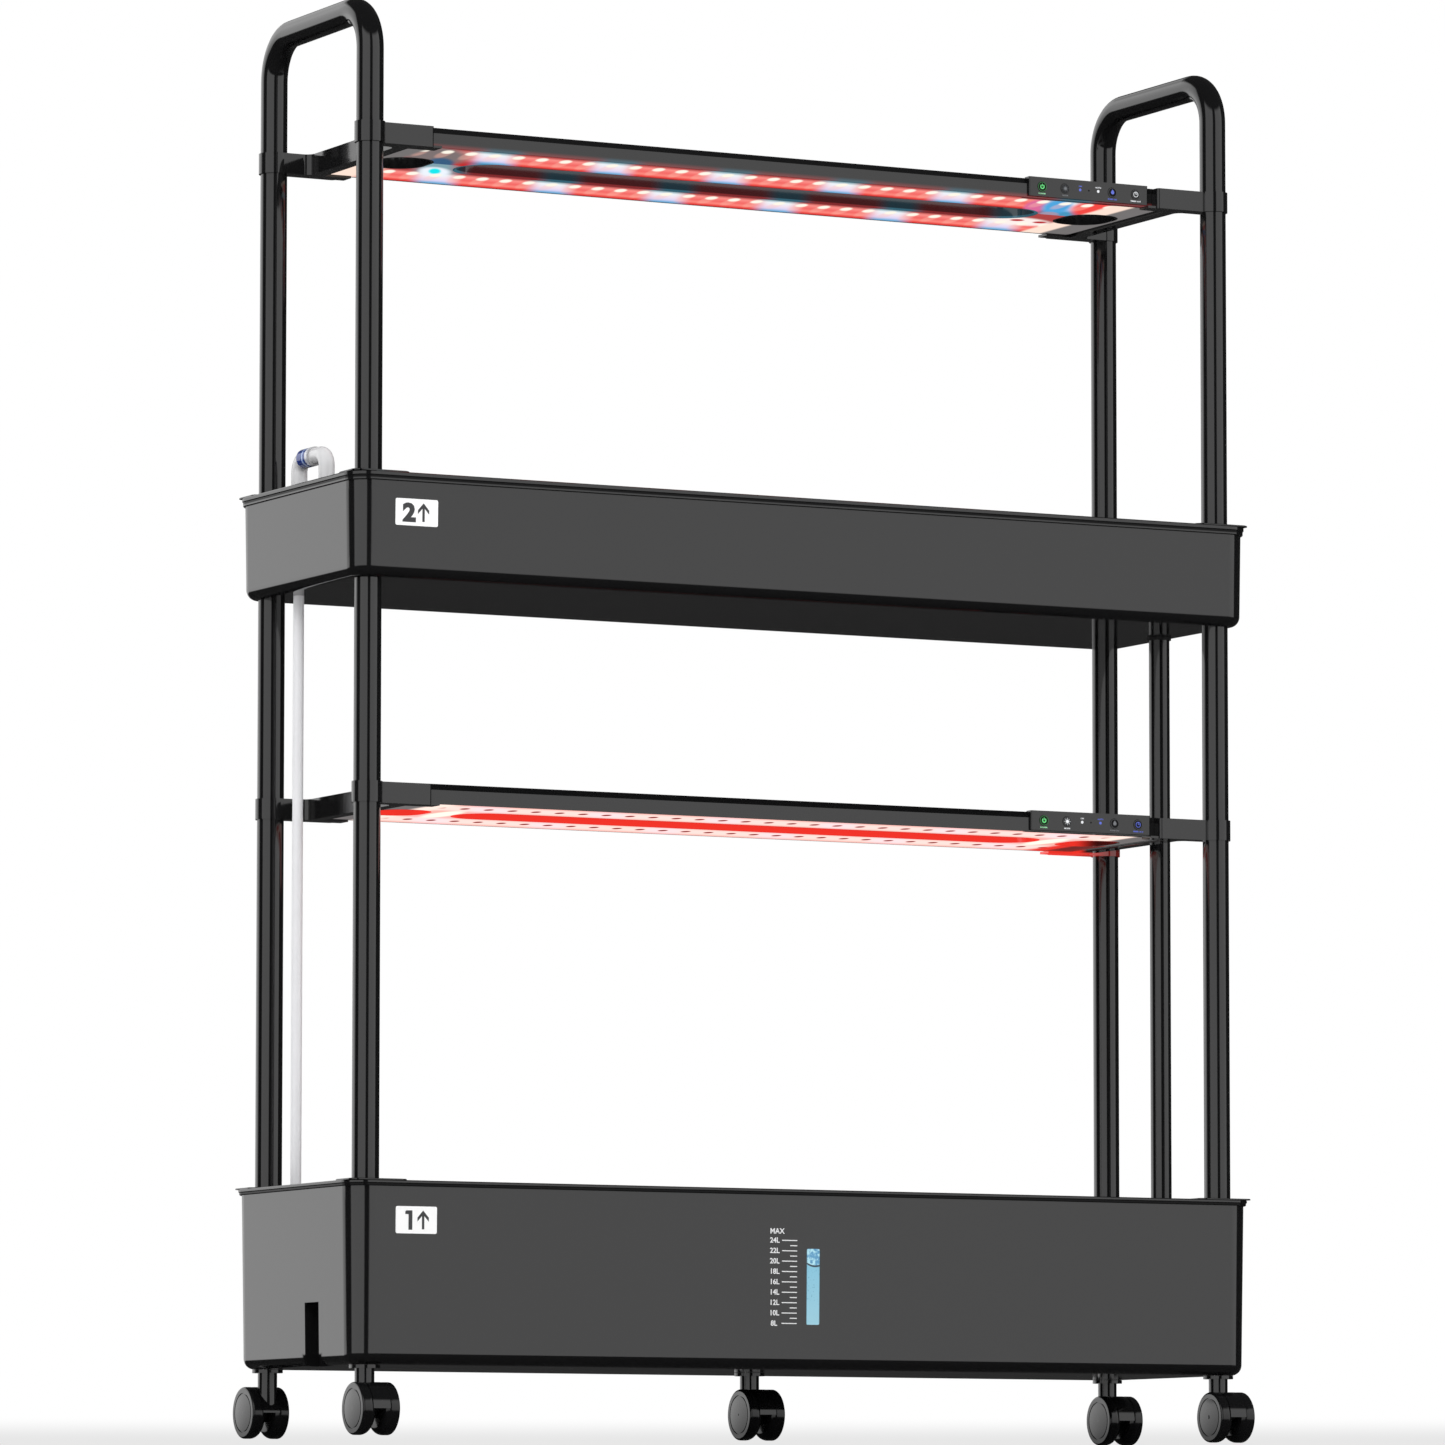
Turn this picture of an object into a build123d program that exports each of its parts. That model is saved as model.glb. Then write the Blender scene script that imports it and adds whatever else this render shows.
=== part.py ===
"""Two-tier hydroponic growing system on five twin-wheel casters.

A deep reservoir tank at the bottom and a shallow growing tray above it stand on four
round posts. Each tier has a planting deck with net baskets and an LED lamp carried by
two moulded brackets. A pump in the tank lifts water through a riser tube to the tray,
and an overflow pipe brings it back.

Millimetres. +X runs along the length, the front faces -Y, +Z is up, and the origin is
on the floor under the middle of the stand.
"""
import os
from collections import namedtuple
from math import atan, degrees

from build123d import *

# Posts and handles
post_diameter = 25.0
post_wall = 1.2
handle_top_z = 1325.0
handle_bend_radius = 40.0

# Plan of both tubs and of the posts in them
rim_length = 953.0
rim_width = 265.0
rim_radius = 22.4
rim_overhang = 2.4
rim_chamfer = 0.8
bottom_edge_radius = 10.0
post_inset_x = 26.5
post_inset_y = 27.0

# Reservoir tank
tank_bottom_z = 64.0
tank_deck_top_z = 231.0
tank_deck_edge = 3.2
tank_lip_height = 2.4
tank_wall = 3.0
tank_draft = 2.7

# Upper tray
tray_bottom_z = 782.0
tray_deck_top_z = 878.3
tray_deck_edge = 4.2
tray_lip_height = 4.2
tray_wall = 2.6
tray_draft = 1.6

# Lips and decks
lip_inset = 0.9
deck_thickness = 2.4
deck_rib_depth = 7.0
deck_rib_width = 2.0
deck_rib_gap = 0.6
hole_collar_height = 1.6
hole_collar_width = 2.6

# Post sockets
socket_wall = 3.0
socket_gap = 0.15
tank_socket_depth = 64.0
tray_stop_height = 40.0
tray_stop_thickness = 3.0
tray_stop_ledge = 4.0
corner_plate_length = 58.0
corner_plate_width = 42.0
corner_plate_thickness = 1.2
corner_plate_radius = 9.0
corner_plate_margin = 1.2
fit_gap = 0.2

# Planting holes, net baskets and grow sponges
hole_columns = 6
hole_rows = 2
hole_margin_x = 151.5
hole_margin_y = 80.5
hole_diameter = 46.0
basket_gap = 0.5
basket_wall = 1.5
basket_depth = 46.0
basket_rim_width = 3.6
basket_rim_height = 1.6
basket_bottom_diameter = 33.0
basket_window_width = 9.0
basket_window_height = 26.0
basket_window_floor = 6.0
basket_window_pairs = 3
sponge_height = 30.0
sponge_drop = 2.0
sponge_gap = 0.3
sponge_seed_hole = 7.0

# Water level window and cord recess of the tank
window_x = -0.9
window_width = 14.6
window_bottom_z = 105.6
window_height = 70.6
window_radius = 2.0
window_gap = 0.1
window_flange_width = 3.0
window_flange_thickness = 1.6
recess_y = -39.0
recess_width = 30.0
recess_height = 58.0
recess_depth = 14.0

# Pump, riser and overflow
riser_inset_x = 32.5
riser_post_gap = 47.5
riser_diameter = 10.0
riser_bore = 7.0
riser_hole_gap = 0.3
riser_sleeve_wall = 2.0
pump_length = 40.0
pump_width = 52.0
pump_height = 42.0
pump_offset_x = 12.0
pump_offset_y = 3.0
pump_corner_radius = 5.0
pump_foot_diameter = 9.0
pump_foot_height = 4.0
pump_foot_inset = 8.0
pump_spigot_diameter = 6.8
pump_spigot_height = 14.0
pump_collar_diameter = 12.0
pump_collar_height = 4.0
pump_slot_count = 6
pump_slot_width = 2.4
pump_slot_pitch = 6.0
pump_slot_height = 22.0
pump_slot_depth = 3.0
elbow_diameter = 15.0
elbow_bore = 10.0
elbow_bend_radius = 12.0
elbow_axis_rise = 31.0
elbow_foot_depth = 16.0
elbow_span = 60.0
elbow_joint_share = 0.40
ring_diameter = 18.0
ring_groove_shares = (0.4, 0.7, 0.92)
ring_groove_width = 1.0
ring_groove_depth = 0.6
drain_diameter = 20.0
drain_wall = 1.5
drain_overflow_rise = 48.0
drain_end_z = 200.0
drain_hole_gap = 0.3
seal_width = 2.6
seal_flange_width = 2.0
seal_flange_height = 2.4
strainer_height = 14.0
strainer_wall = 1.5
strainer_drop = 6.0
strainer_slot_width = 3.0
strainer_slot_pairs = 3

# Lamps and their brackets
upper_lamp_drop = 138.0
upper_lamp_bottom_z = handle_top_z - upper_lamp_drop
lower_lamp_bottom_z = 578.2
lamp_height = 19.0
lamp_end_gap = 46.5
lamp_side_gap = 7.5
lamp_corner_radius = 14.0
lamp_top_chamfer = 6.0
lamp_wall = 3.0
lamp_roof = 3.0
lamp_ledge = 3.0
lamp_slot_half_width = 30.0
lamp_bridge = 35.5
lamp_window_margin = 10.0
lamp_window_length = 50.0
lamp_window_half_width = 31.0
lamp_window_corner_share = 0.46
lamp_edge_gap = 0.3
board_thickness = 1.6
chip_size = 5.0
chip_height = 1.0
chip_gap = 1.3
chip_columns = 31
chip_margin_left = 30.5
chip_margin_right = 44.5
chip_row_inset = 32.0
diffuser_thickness = 1.5
bracket_height = 19.4
bracket_shelf = 2.2
collar_wall = 1.6
collar_gap = 0.1
bracket_rail_gap = 0.5
bracket_rail_thickness = 14.0
bracket_side_thickness = 11.7
bracket_side_lap = 17.5
bracket_shelf_lap = 26.5
bracket_shelf_width = 8.0
bracket_tip_radius = 3.0
bracket_gusset_radius = 8.0
arm_thickness = 18.0

# Control panel and push buttons
panel_length = 131.0
panel_end_margin = 23.5
panel_height = 18.6
panel_rise = 1.2
panel_proud = 3.0
panel_depth = 9.0
panel_face_thickness = 2.0
panel_corner_radius = 1.2
panel_gap = 0.2
button_shares = (0.107, 0.301, 0.699, 0.896)
button_diameter = 9.6
button_flange = 1.0
button_flange_thickness = 1.2
button_proud = 0.6
button_length = 4.6
button_gap = 0.3
button_rest_gap = 0.1
indicator_shares = (0.4275, 0.58)
indicator_diameter = 2.8
sensor_share = 0.501
sensor_diameter = 1.6

# Casters
wheel_diameter = 48.0
caster_half_width = 18.6
caster_cap_dome = 0.7
caster_trail = 14.0
wheel_side_gap = 0.5
wheel_edge_radius = 2.2
wheel_shoulder_radius = 8.0
wheel_ring_outer = 18.4
wheel_ring_inner = 17.2
wheel_ring_depth = 0.7
wheel_disc_thickness = 3.4
web_half_width = 3.2
axle_diameter = 6.0
axle_half_length = 14.8
axle_running_gap = 0.05
hub_diameter = 17.0
stem_diameter = 18.0
stem_flange_diameter = 28.5
stem_flange_height = 3.0
stem_seat_gap = 0.3
pin_diameter = 8.0
pin_length = 26.0
pin_running_gap = 0.05
boss_wall = 4.0
boss_roof = 4.0

# Length that cuts run past the faces they pass through
overrun = 2.0

body_half_x = rim_length / 2 - rim_overhang
body_half_y = rim_width / 2 - rim_overhang
corner_radius = rim_radius - rim_overhang
post_x = rim_length / 2 - post_inset_x
post_y = rim_width / 2 - post_inset_y
post_radius = post_diameter / 2
wheel_radius = wheel_diameter / 2
corners = [(sx * post_x, sy * post_y) for sx in (-1, 1) for sy in (-1, 1)]
hole_pitch_x = (rim_length - 2 * hole_margin_x) / (hole_columns - 1)
hole_pitch_y = (rim_width - 2 * hole_margin_y) / (hole_rows - 1)
hole_places = [
    ((column - (hole_columns - 1) / 2) * hole_pitch_x, (row - (hole_rows - 1) / 2) * hole_pitch_y)
    for column in range(hole_columns)
    for row in range(hole_rows)
]
riser_x = riser_inset_x - rim_length / 2
riser_y = post_y - riser_post_gap
drain_x = post_x
lamp_half_length = post_x - lamp_end_gap
lamp_half_width = post_y - lamp_side_gap
window_outer_x = lamp_half_length - lamp_window_margin
window_inner_x = window_outer_x - lamp_window_length
lamp_slot_half_length = window_inner_x - lamp_bridge
chip_start_x = chip_margin_left - lamp_half_length
chip_end_x = lamp_half_length - chip_margin_right
chip_pitch = (chip_end_x - chip_start_x) / (chip_columns - 1)
chip_row_y = lamp_half_width - chip_row_inset
panel_end_x = lamp_half_length - panel_end_margin
panel_start_x = panel_end_x - panel_length
panel_face_y = -lamp_half_width - panel_proud
button_places = [panel_start_x + share * panel_length for share in button_shares]
indicator_places = [panel_start_x + share * panel_length for share in indicator_shares]
sensor_place = panel_start_x + sensor_share * panel_length

Tub = namedtuple("Tub", "bottom_z deck_top_z deck_edge lip_height wall draft")
tank = Tub(tank_bottom_z, tank_deck_top_z, tank_deck_edge, tank_lip_height, tank_wall, tank_draft)
tray = Tub(tray_bottom_z, tray_deck_top_z, tray_deck_edge, tray_lip_height, tray_wall, tray_draft)


def lip_top(tub):
    """Height of the tub's own rim, which the deck rests on."""
    return tub.deck_top_z - tub.deck_edge


def plate(half_x, half_y, radius, low, high):
    """Rounded rectangular plate centred on the stand."""
    return Pos(0, 0, low) * extrude(RectangleRounded(2 * half_x, 2 * half_y, radius), high - low)


def block(x_low, x_high, y_low, y_high, z_low, z_high):
    """Box from its lowest to its highest corner."""
    place = Pos((x_low + x_high) / 2, (y_low + y_high) / 2, (z_low + z_high) / 2)
    return place * Box(x_high - x_low, y_high - y_low, z_high - z_low)


def rod(x, y, radius, low, high):
    """Upright cylinder."""
    return Pos(x, y, (low + high) / 2) * Cylinder(radius, high - low)


def tube(x, y, outer, inner, low, high):
    """Upright tube, given by its two radii."""
    return rod(x, y, outer, low, high) - rod(x, y, inner, low - overrun, high + overrun)


def tub_form(tub, inset, top):
    """Drafted block with a rounded foot: the tub's outside, or its hollow when inset."""
    low = tub.bottom_z + inset
    foot_half_x = body_half_x - tub.draft - inset
    foot_half_y = body_half_y - tub.draft - inset
    foot = Pos(0, 0, low) * RectangleRounded(2 * foot_half_x, 2 * foot_half_y, corner_radius - inset)
    draft_angle = degrees(atan(tub.draft / (lip_top(tub) - tub.bottom_z)))
    form = extrude(foot, top - low, taper=-draft_angle)
    return fillet(form.edges().group_by(Axis.Z)[0], bottom_edge_radius - inset)


def tub_shell(tub):
    """Open tub with its rim lip."""
    top = lip_top(tub)
    lip_half_x = rim_length / 2 - lip_inset
    lip_half_y = rim_width / 2 - lip_inset
    lip = plate(lip_half_x, lip_half_y, rim_radius - lip_inset, top - tub.lip_height, top)
    lip = chamfer(lip.edges().group_by(Axis.Z)[0], rim_chamfer)
    hollow = tub_form(tub, tub.wall, top + overrun)
    return tub_form(tub, 0, top) + lip - hollow


def socket_radius():
    """Inner radius of a post socket."""
    return post_radius + socket_gap


def reservoir_tank():
    """Deep tank with post sockets, caster bosses, a window slot and a cord recess."""
    top = lip_top(tank)
    outside = tub_form(tank, 0, top)
    body = tub_shell(tank)
    boss_radius = pin_diameter / 2 + pin_running_gap + boss_wall
    boss_top = tank_bottom_z + pin_length + boss_roof
    foot_radius = stem_flange_diameter / 2
    for x, y in corners:
        sleeve = rod(x, y, socket_radius() + socket_wall, tank_bottom_z + tank_wall, top)
        body += sleeve & outside
        body += rod(x, y, foot_radius, tank_bottom_z, tank_bottom_z + bottom_edge_radius)
    body += rod(0, 0, boss_radius, tank_bottom_z, boss_top)
    for x, y in corners:
        body -= rod(x, y, socket_radius(), top - tank_socket_depth, top + overrun)
    for x, y in corners + [(0, 0)]:
        bore = pin_diameter / 2 + pin_running_gap
        body -= rod(x, y, bore, tank_bottom_z - overrun, tank_bottom_z + pin_length)
    half_width = recess_width / 2
    face_x = -(body_half_x - tank_draft)
    body += block(
        face_x + tank_wall / 2, face_x + recess_depth + tank_wall,
        recess_y - half_width - tank_wall, recess_y + half_width + tank_wall,
        tank_bottom_z + tank_wall / 2, tank_bottom_z + recess_height + tank_wall,
    )
    body -= block(
        -rim_length / 2, face_x + recess_depth,
        recess_y - half_width, recess_y + half_width,
        tank_bottom_z - overrun, tank_bottom_z + recess_height,
    )
    return body - window_prism(window_width, window_height, window_radius, -rim_width / 2, 0)


def window_prism(width, height, radius, y_low, y_high):
    """Upright rounded prism through the front wall at the level window."""
    centre_z = window_bottom_z + window_height / 2
    outline = Plane.XZ * Pos(window_x, centre_z) * RectangleRounded(width, height, radius)
    return Pos(0, y_high, 0) * extrude(outline, y_high - y_low)


def level_window():
    """Clear strip that fills the slot, with a flange against the inside of the wall."""
    top = lip_top(tank)
    wall = tub_form(tank, 0, top) - tub_form(tank, tank_wall, top + overrun)
    skin = tub_form(tank, tank_wall, top) - tub_form(tank, tank_wall + window_flange_thickness, top + overrun)
    strip_width = window_width - 2 * window_gap
    strip_height = window_height - 2 * window_gap
    strip = wall & window_prism(strip_width, strip_height, window_radius, -rim_width / 2, 0)
    flange_width = window_width + 2 * window_flange_width
    flange_height = window_height + 2 * window_flange_width
    flange = skin & window_prism(flange_width, flange_height, window_radius, -rim_width / 2, 0)
    return strip + flange


def deck(tub, pass_holes):
    """Planting deck: edge lip, locating rib, collared basket holes and post holes."""
    top = tub.deck_top_z
    low = lip_top(tub)
    under = top - deck_thickness
    body = plate(rim_length / 2, rim_width / 2, rim_radius, low, top)
    body = chamfer(body.edges().group_by(Axis.Z)[0] + body.edges().group_by(Axis.Z)[-1], rim_chamfer)
    inner_x = body_half_x - tub.wall - deck_rib_gap
    inner_y = body_half_y - tub.wall - deck_rib_gap
    rib_radius = corner_radius + tub.draft - tub.wall - deck_rib_gap
    pocket_x = inner_x - deck_rib_width
    pocket_y = inner_y - deck_rib_width
    pocket_radius = rib_radius - deck_rib_width
    rib = plate(inner_x, inner_y, rib_radius, low - deck_rib_depth, under)
    body += rib
    body -= plate(pocket_x, pocket_y, pocket_radius, low - deck_rib_depth - overrun, under)
    for x, y in corners:
        clear = socket_radius() + socket_wall + fit_gap
        body -= rod(x, y, clear, low - deck_rib_depth - overrun, low)
        body -= rod(x, y, post_radius + fit_gap, low - overrun, top + overrun)
    for x, y in hole_places:
        body += rod(x, y, hole_diameter / 2 + hole_collar_width, under - hole_collar_height, under)
        body -= rod(x, y, hole_diameter / 2, low - deck_rib_depth, top + overrun)
    for x, y, radius in pass_holes:
        body -= rod(x, y, radius, low - deck_rib_depth, top + overrun)
    return body


def upper_tray():
    """Shallow tray with post sockets, a riser sleeve and an overflow hole."""
    top = lip_top(tray)
    outside = tub_form(tray, 0, top)
    body = tub_shell(tray)
    stop_low = tray_bottom_z + tray_stop_height
    stop_high = stop_low + tray_stop_thickness
    for x, y in corners:
        body += rod(x, y, socket_radius() + socket_wall, tray_bottom_z, top) & outside
    sleeve_bore = riser_diameter / 2 + riser_hole_gap
    sleeve_radius = sleeve_bore + riser_sleeve_wall
    body += rod(riser_x, riser_y, sleeve_radius, tray_bottom_z + tray_wall / 2, top) & outside
    for x, y in corners:
        body -= rod(x, y, socket_radius(), tray_bottom_z - overrun, stop_low)
        body -= rod(x, y, post_radius - tray_stop_ledge, stop_low - overrun, stop_high + overrun)
        body -= rod(x, y, socket_radius(), stop_high, top + overrun)
    body -= rod(riser_x, riser_y, sleeve_bore, tray_bottom_z - overrun, top + overrun)
    seal_bore = drain_diameter / 2 + seal_width
    body -= rod(drain_x, 0, seal_bore, tray_bottom_z - overrun, tray_bottom_z + bottom_edge_radius)
    return body


def lower_post(x, y):
    """Round steel tube from the tank's socket to the stop in the tray's socket."""
    low = lip_top(tank) - tank_socket_depth
    high = tray_bottom_z + tray_stop_height
    return tube(x, y, post_radius, post_radius - post_wall, low, high)


def handle_loop(side):
    """Steel tube bent into an upside-down U that joins the front and rear posts of one side."""
    foot = tray_bottom_z + tray_stop_height + tray_stop_thickness
    crown = handle_top_z - post_radius
    x = side * post_x
    corner_points = [(x, -post_y, foot), (x, -post_y, crown), (x, post_y, crown), (x, post_y, foot)]
    path = FilletPolyline(*corner_points, radius=handle_bend_radius)
    start = Plane(origin=corner_points[0], z_dir=(0, 0, 1))
    outer = sweep(start * Circle(post_radius), path=path)
    inner = sweep(start * Circle(post_radius - post_wall), path=path)
    return outer - inner


def corner_plates(tub):
    """Four raised plates that cover the posts' holes in a deck."""
    plates = []
    for x, y in corners:
        side_x = 1 if x > 0 else -1
        side_y = 1 if y > 0 else -1
        outer_x = rim_length / 2 - corner_plate_margin
        outer_y = rim_width / 2 - corner_plate_margin
        centre_x = side_x * (outer_x - corner_plate_length / 2)
        centre_y = side_y * (outer_y - corner_plate_width / 2)
        outline = RectangleRounded(corner_plate_length, corner_plate_width, corner_plate_radius)
        cover = Pos(centre_x, centre_y, tub.deck_top_z) * extrude(outline, corner_plate_thickness)
        upper_edges = cover.edges().group_by(Axis.Z)[-1]
        cover = chamfer(upper_edges, corner_plate_thickness / 3)
        high = tub.deck_top_z + corner_plate_thickness + overrun
        plates.append(cover - rod(x, y, post_radius + fit_gap, tub.deck_top_z - overrun, high))
    return plates


def net_basket():
    """Tapered basket with tall windows, hung by its rim; local origin on the deck's face."""
    top_radius = hole_diameter / 2 - basket_gap
    foot_radius = basket_bottom_diameter / 2
    rim_outer = top_radius + basket_rim_width
    profile = Polyline(
        (0, -basket_depth),
        (foot_radius, -basket_depth),
        (top_radius, 0),
        (rim_outer, 0),
        (rim_outer, basket_rim_height),
        (top_radius - basket_wall, basket_rim_height),
        (foot_radius - basket_wall, basket_wall - basket_depth),
        (0, basket_wall - basket_depth),
        close=True,
    )
    basket = revolve(Plane.XZ * make_face(profile), Axis.Z)
    low = basket_window_floor - basket_depth
    for turn in range(basket_window_pairs):
        window = block(
            -hole_diameter, hole_diameter,
            -basket_window_width / 2, basket_window_width / 2,
            low, low + basket_window_height,
        )
        basket -= Rot(0, 0, 180 * turn / basket_window_pairs) * window
    return basket


def grow_sponge():
    """Tapered foam plug with a seed hole, wedged in a basket."""
    slope = (hole_diameter / 2 - basket_gap - basket_bottom_diameter / 2) / basket_depth
    top_radius = hole_diameter / 2 - basket_gap - basket_wall - sponge_gap - slope * sponge_drop
    foot_radius = top_radius - slope * sponge_height
    centre = Pos(0, 0, -sponge_drop - sponge_height / 2)
    plug = centre * Cone(foot_radius, top_radius, sponge_height)
    return plug - centre * Cylinder(sponge_seed_hole / 2, sponge_height + overrun)


def hung_in_holes(piece, tub):
    """One copy of the piece for each planting hole of a deck."""
    return [Pos(x, y, tub.deck_top_z) * piece for x, y in hole_places]


def pump_place():
    """Middle of the pump in plan and the height of its foot plane."""
    return riser_x + pump_offset_x, riser_y + pump_offset_y, tank_bottom_z + tank_wall


def pump():
    """Submersible pump with an intake grille, feet and an outlet spigot."""
    x, y, floor = pump_place()
    low = floor + pump_foot_height
    high = low + pump_height
    body = Pos(x, y, (low + high) / 2) * Box(pump_length, pump_width, pump_height)
    body = fillet(body.edges().filter_by(Axis.Z), pump_corner_radius)
    front = y - pump_width / 2
    for index in range(pump_slot_count):
        slot_x = x + (index - (pump_slot_count - 1) / 2) * pump_slot_pitch
        middle = (low + high) / 2
        body -= block(
            slot_x - pump_slot_width / 2, slot_x + pump_slot_width / 2,
            front - overrun, front + pump_slot_depth,
            middle - pump_slot_height / 2, middle + pump_slot_height / 2,
        )
    for side_x in (-1, 1):
        for side_y in (-1, 1):
            foot_x = x + side_x * (pump_length / 2 - pump_foot_inset)
            foot_y = y + side_y * (pump_width / 2 - pump_foot_inset)
            body += rod(foot_x, foot_y, pump_foot_diameter / 2, floor, low)
    body += rod(riser_x, riser_y, pump_collar_diameter / 2, high, high + pump_collar_height)
    spigot_top = high + pump_collar_height + pump_spigot_height
    return body + rod(riser_x, riser_y, pump_spigot_diameter / 2, high, spigot_top)


def riser_foot_z():
    """Height where the riser tube stands on the pump's collar."""
    return tank_bottom_z + tank_wall + pump_foot_height + pump_height + pump_collar_height


def elbow_foot_z():
    """Lower end of both elbows, inside the riser sleeve's mouth and the deck's hole."""
    return tray_deck_top_z + elbow_axis_rise - elbow_bend_radius - elbow_foot_depth


def riser_tube():
    """Translucent tube from the pump to the rear elbow."""
    return tube(riser_x, riser_y, riser_diameter / 2, riser_bore / 2, riser_foot_z(), elbow_foot_z())


def riser_elbows():
    """Two quarter bends that carry the water over and down into the tray."""
    axis_z = tray_deck_top_z + elbow_axis_rise
    joint_y = riser_y - elbow_joint_share * elbow_span
    front_y = riser_y - elbow_span
    elbows = []
    for leg_y in (riser_y, front_y):
        points = [(riser_x, leg_y, elbow_foot_z()), (riser_x, leg_y, axis_z), (riser_x, joint_y, axis_z)]
        path = FilletPolyline(*points, radius=elbow_bend_radius)
        start = Plane(origin=points[0], z_dir=(0, 0, 1))
        outer = sweep(start * Circle(elbow_diameter / 2), path=path)
        elbows.append(outer - sweep(start * Circle(elbow_bore / 2), path=path))
    return elbows


def coupling_ring():
    """Grooved ring over the joint of the elbows, as long as their straight parts allow."""
    axis_z = tray_deck_top_z + elbow_axis_rise
    rear_y = riser_y - elbow_bend_radius
    joint_y = riser_y - elbow_joint_share * elbow_span
    ring_length = 2 * (rear_y - joint_y)
    outer = ring_diameter / 2
    ring = along_y(riser_x, axis_z, outer, rear_y - ring_length, rear_y)
    for share in ring_groove_shares:
        groove_y = rear_y - share * ring_length
        low_y = groove_y - ring_groove_width / 2
        high_y = groove_y + ring_groove_width / 2
        groove = along_y(riser_x, axis_z, outer + overrun, low_y, high_y)
        ring -= groove - along_y(riser_x, axis_z, outer - ring_groove_depth, low_y, high_y)
    bore = along_y(riser_x, axis_z, elbow_diameter / 2, rear_y - ring_length - overrun, rear_y + overrun)
    return ring - bore


def drain_pipe():
    """Return pipe: overflow standpipe in the tray, down through the lower deck into the tank."""
    high = tray_bottom_z + drain_overflow_rise
    return tube(drain_x, 0, drain_diameter / 2, drain_diameter / 2 - drain_wall, drain_end_z, high)


def drain_seal():
    """Rubber grommet between the pipe and the tray's floor."""
    outer = drain_diameter / 2 + seal_width
    low = tray_bottom_z - seal_flange_height
    collar = rod(drain_x, 0, outer, low, tray_bottom_z + bottom_edge_radius)
    collar &= tub_form(tray, 0, lip_top(tray)) - tub_form(tray, tray_wall + seal_flange_height, lip_top(tray))
    flange = rod(drain_x, 0, outer - seal_flange_width / 2, low, tray_bottom_z)
    return collar + flange - rod(drain_x, 0, drain_diameter / 2, low - overrun, tray_deck_top_z)


def overflow_strainer():
    """Slotted cap on the standpipe that keeps leaves out of the pipe."""
    pipe_top = tray_bottom_z + drain_overflow_rise
    low = pipe_top - strainer_drop
    high = low + strainer_height
    inner = drain_diameter / 2
    cap = rod(drain_x, 0, inner + strainer_wall, low, high)
    cap -= rod(drain_x, 0, inner, low - overrun, pipe_top)
    cap -= rod(drain_x, 0, inner - strainer_wall, pipe_top - overrun, high - strainer_wall)
    reach = inner + strainer_wall + overrun
    slot_half = strainer_slot_width / 2
    for turn in range(strainer_slot_pairs):
        slot = block(-reach, reach, -slot_half, slot_half, pipe_top, high - strainer_wall)
        cap -= Pos(drain_x, 0, 0) * Rot(0, 0, 180 * turn / strainer_slot_pairs) * slot
    return cap


def lamp_openings(grow, low, high):
    """Middle slot and the two end windows of a lamp, each grown by the same amount."""
    slot_outline = SlotOverall(2 * (lamp_slot_half_length + grow), 2 * (lamp_slot_half_width + grow))
    cuts = Pos(0, 0, low) * extrude(slot_outline, high - low)
    centre_x = (window_inner_x + window_outer_x) / 2
    window_outline = RectangleRounded(
        lamp_window_length + 2 * grow,
        2 * (lamp_window_half_width + grow),
        lamp_window_corner_share * lamp_window_length + grow,
    )
    for side in (-1, 1):
        cuts += Pos(side * centre_x, 0, low) * extrude(window_outline, high - low)
    return cuts


def panel_block(low_z, grow):
    """Space that the control panel takes in the front of a lamp."""
    foot = low_z + panel_rise
    return block(
        panel_start_x - grow, panel_end_x + grow,
        panel_face_y - grow, panel_face_y + panel_depth + grow,
        foot - grow, foot + panel_height + grow,
    )


def lamp_housing(low):
    """Flat moulded frame with three openings, hollow from below, with a ledge for the board."""
    high = low + lamp_height
    body = plate(lamp_half_length, lamp_half_width, lamp_corner_radius, low, high)
    body = chamfer(body.edges().group_by(Axis.Z)[-1], lamp_top_chamfer)
    body -= lamp_openings(0, low - overrun, high + overrun)
    body -= lamp_pocket(0, low - overrun, board_face(low) + board_thickness)
    body -= lamp_pocket(lamp_ledge, low - overrun, high - lamp_roof)
    return body - panel_block(low, panel_gap)


def lamp_pocket(inset, low, high):
    """Hollow of a lamp between its outer wall and the walls of its openings."""
    wall = lamp_wall + inset
    pocket = plate(lamp_half_length - wall, lamp_half_width - wall, lamp_corner_radius - wall, low, high)
    pocket -= lamp_openings(wall, low - overrun, high + overrun)
    return pocket - panel_wall(inset, low, high)


def panel_wall(inset, low, high):
    """Block kept behind the control panel, so the panel's recess stays closed."""
    wall = lamp_wall + panel_gap + inset
    return block(
        panel_start_x - wall, panel_end_x + wall,
        -lamp_half_width - overrun, panel_face_y + panel_depth + wall,
        low - overrun, high + overrun,
    )


def board_face(low):
    """Height of the circuit board's lower face, a little above the clear sheet."""
    return low + diffuser_thickness + chip_gap + chip_height


def led_board(low):
    """Circuit board against the housing's ledge, with two rows of LED chips on its lower face."""
    face = board_face(low)
    board = lamp_pocket(lamp_edge_gap, face, face + board_thickness)
    for index in range(chip_columns):
        x = chip_start_x + index * chip_pitch
        for y in (-chip_row_y, chip_row_y):
            half = chip_size / 2
            board += block(x - half, x + half, y - half, y + half, face - chip_height, face)
    return board


def lamp_diffuser(low):
    """Clear sheet that closes the lamp from below."""
    return lamp_pocket(lamp_edge_gap, low, low + diffuser_thickness)


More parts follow.
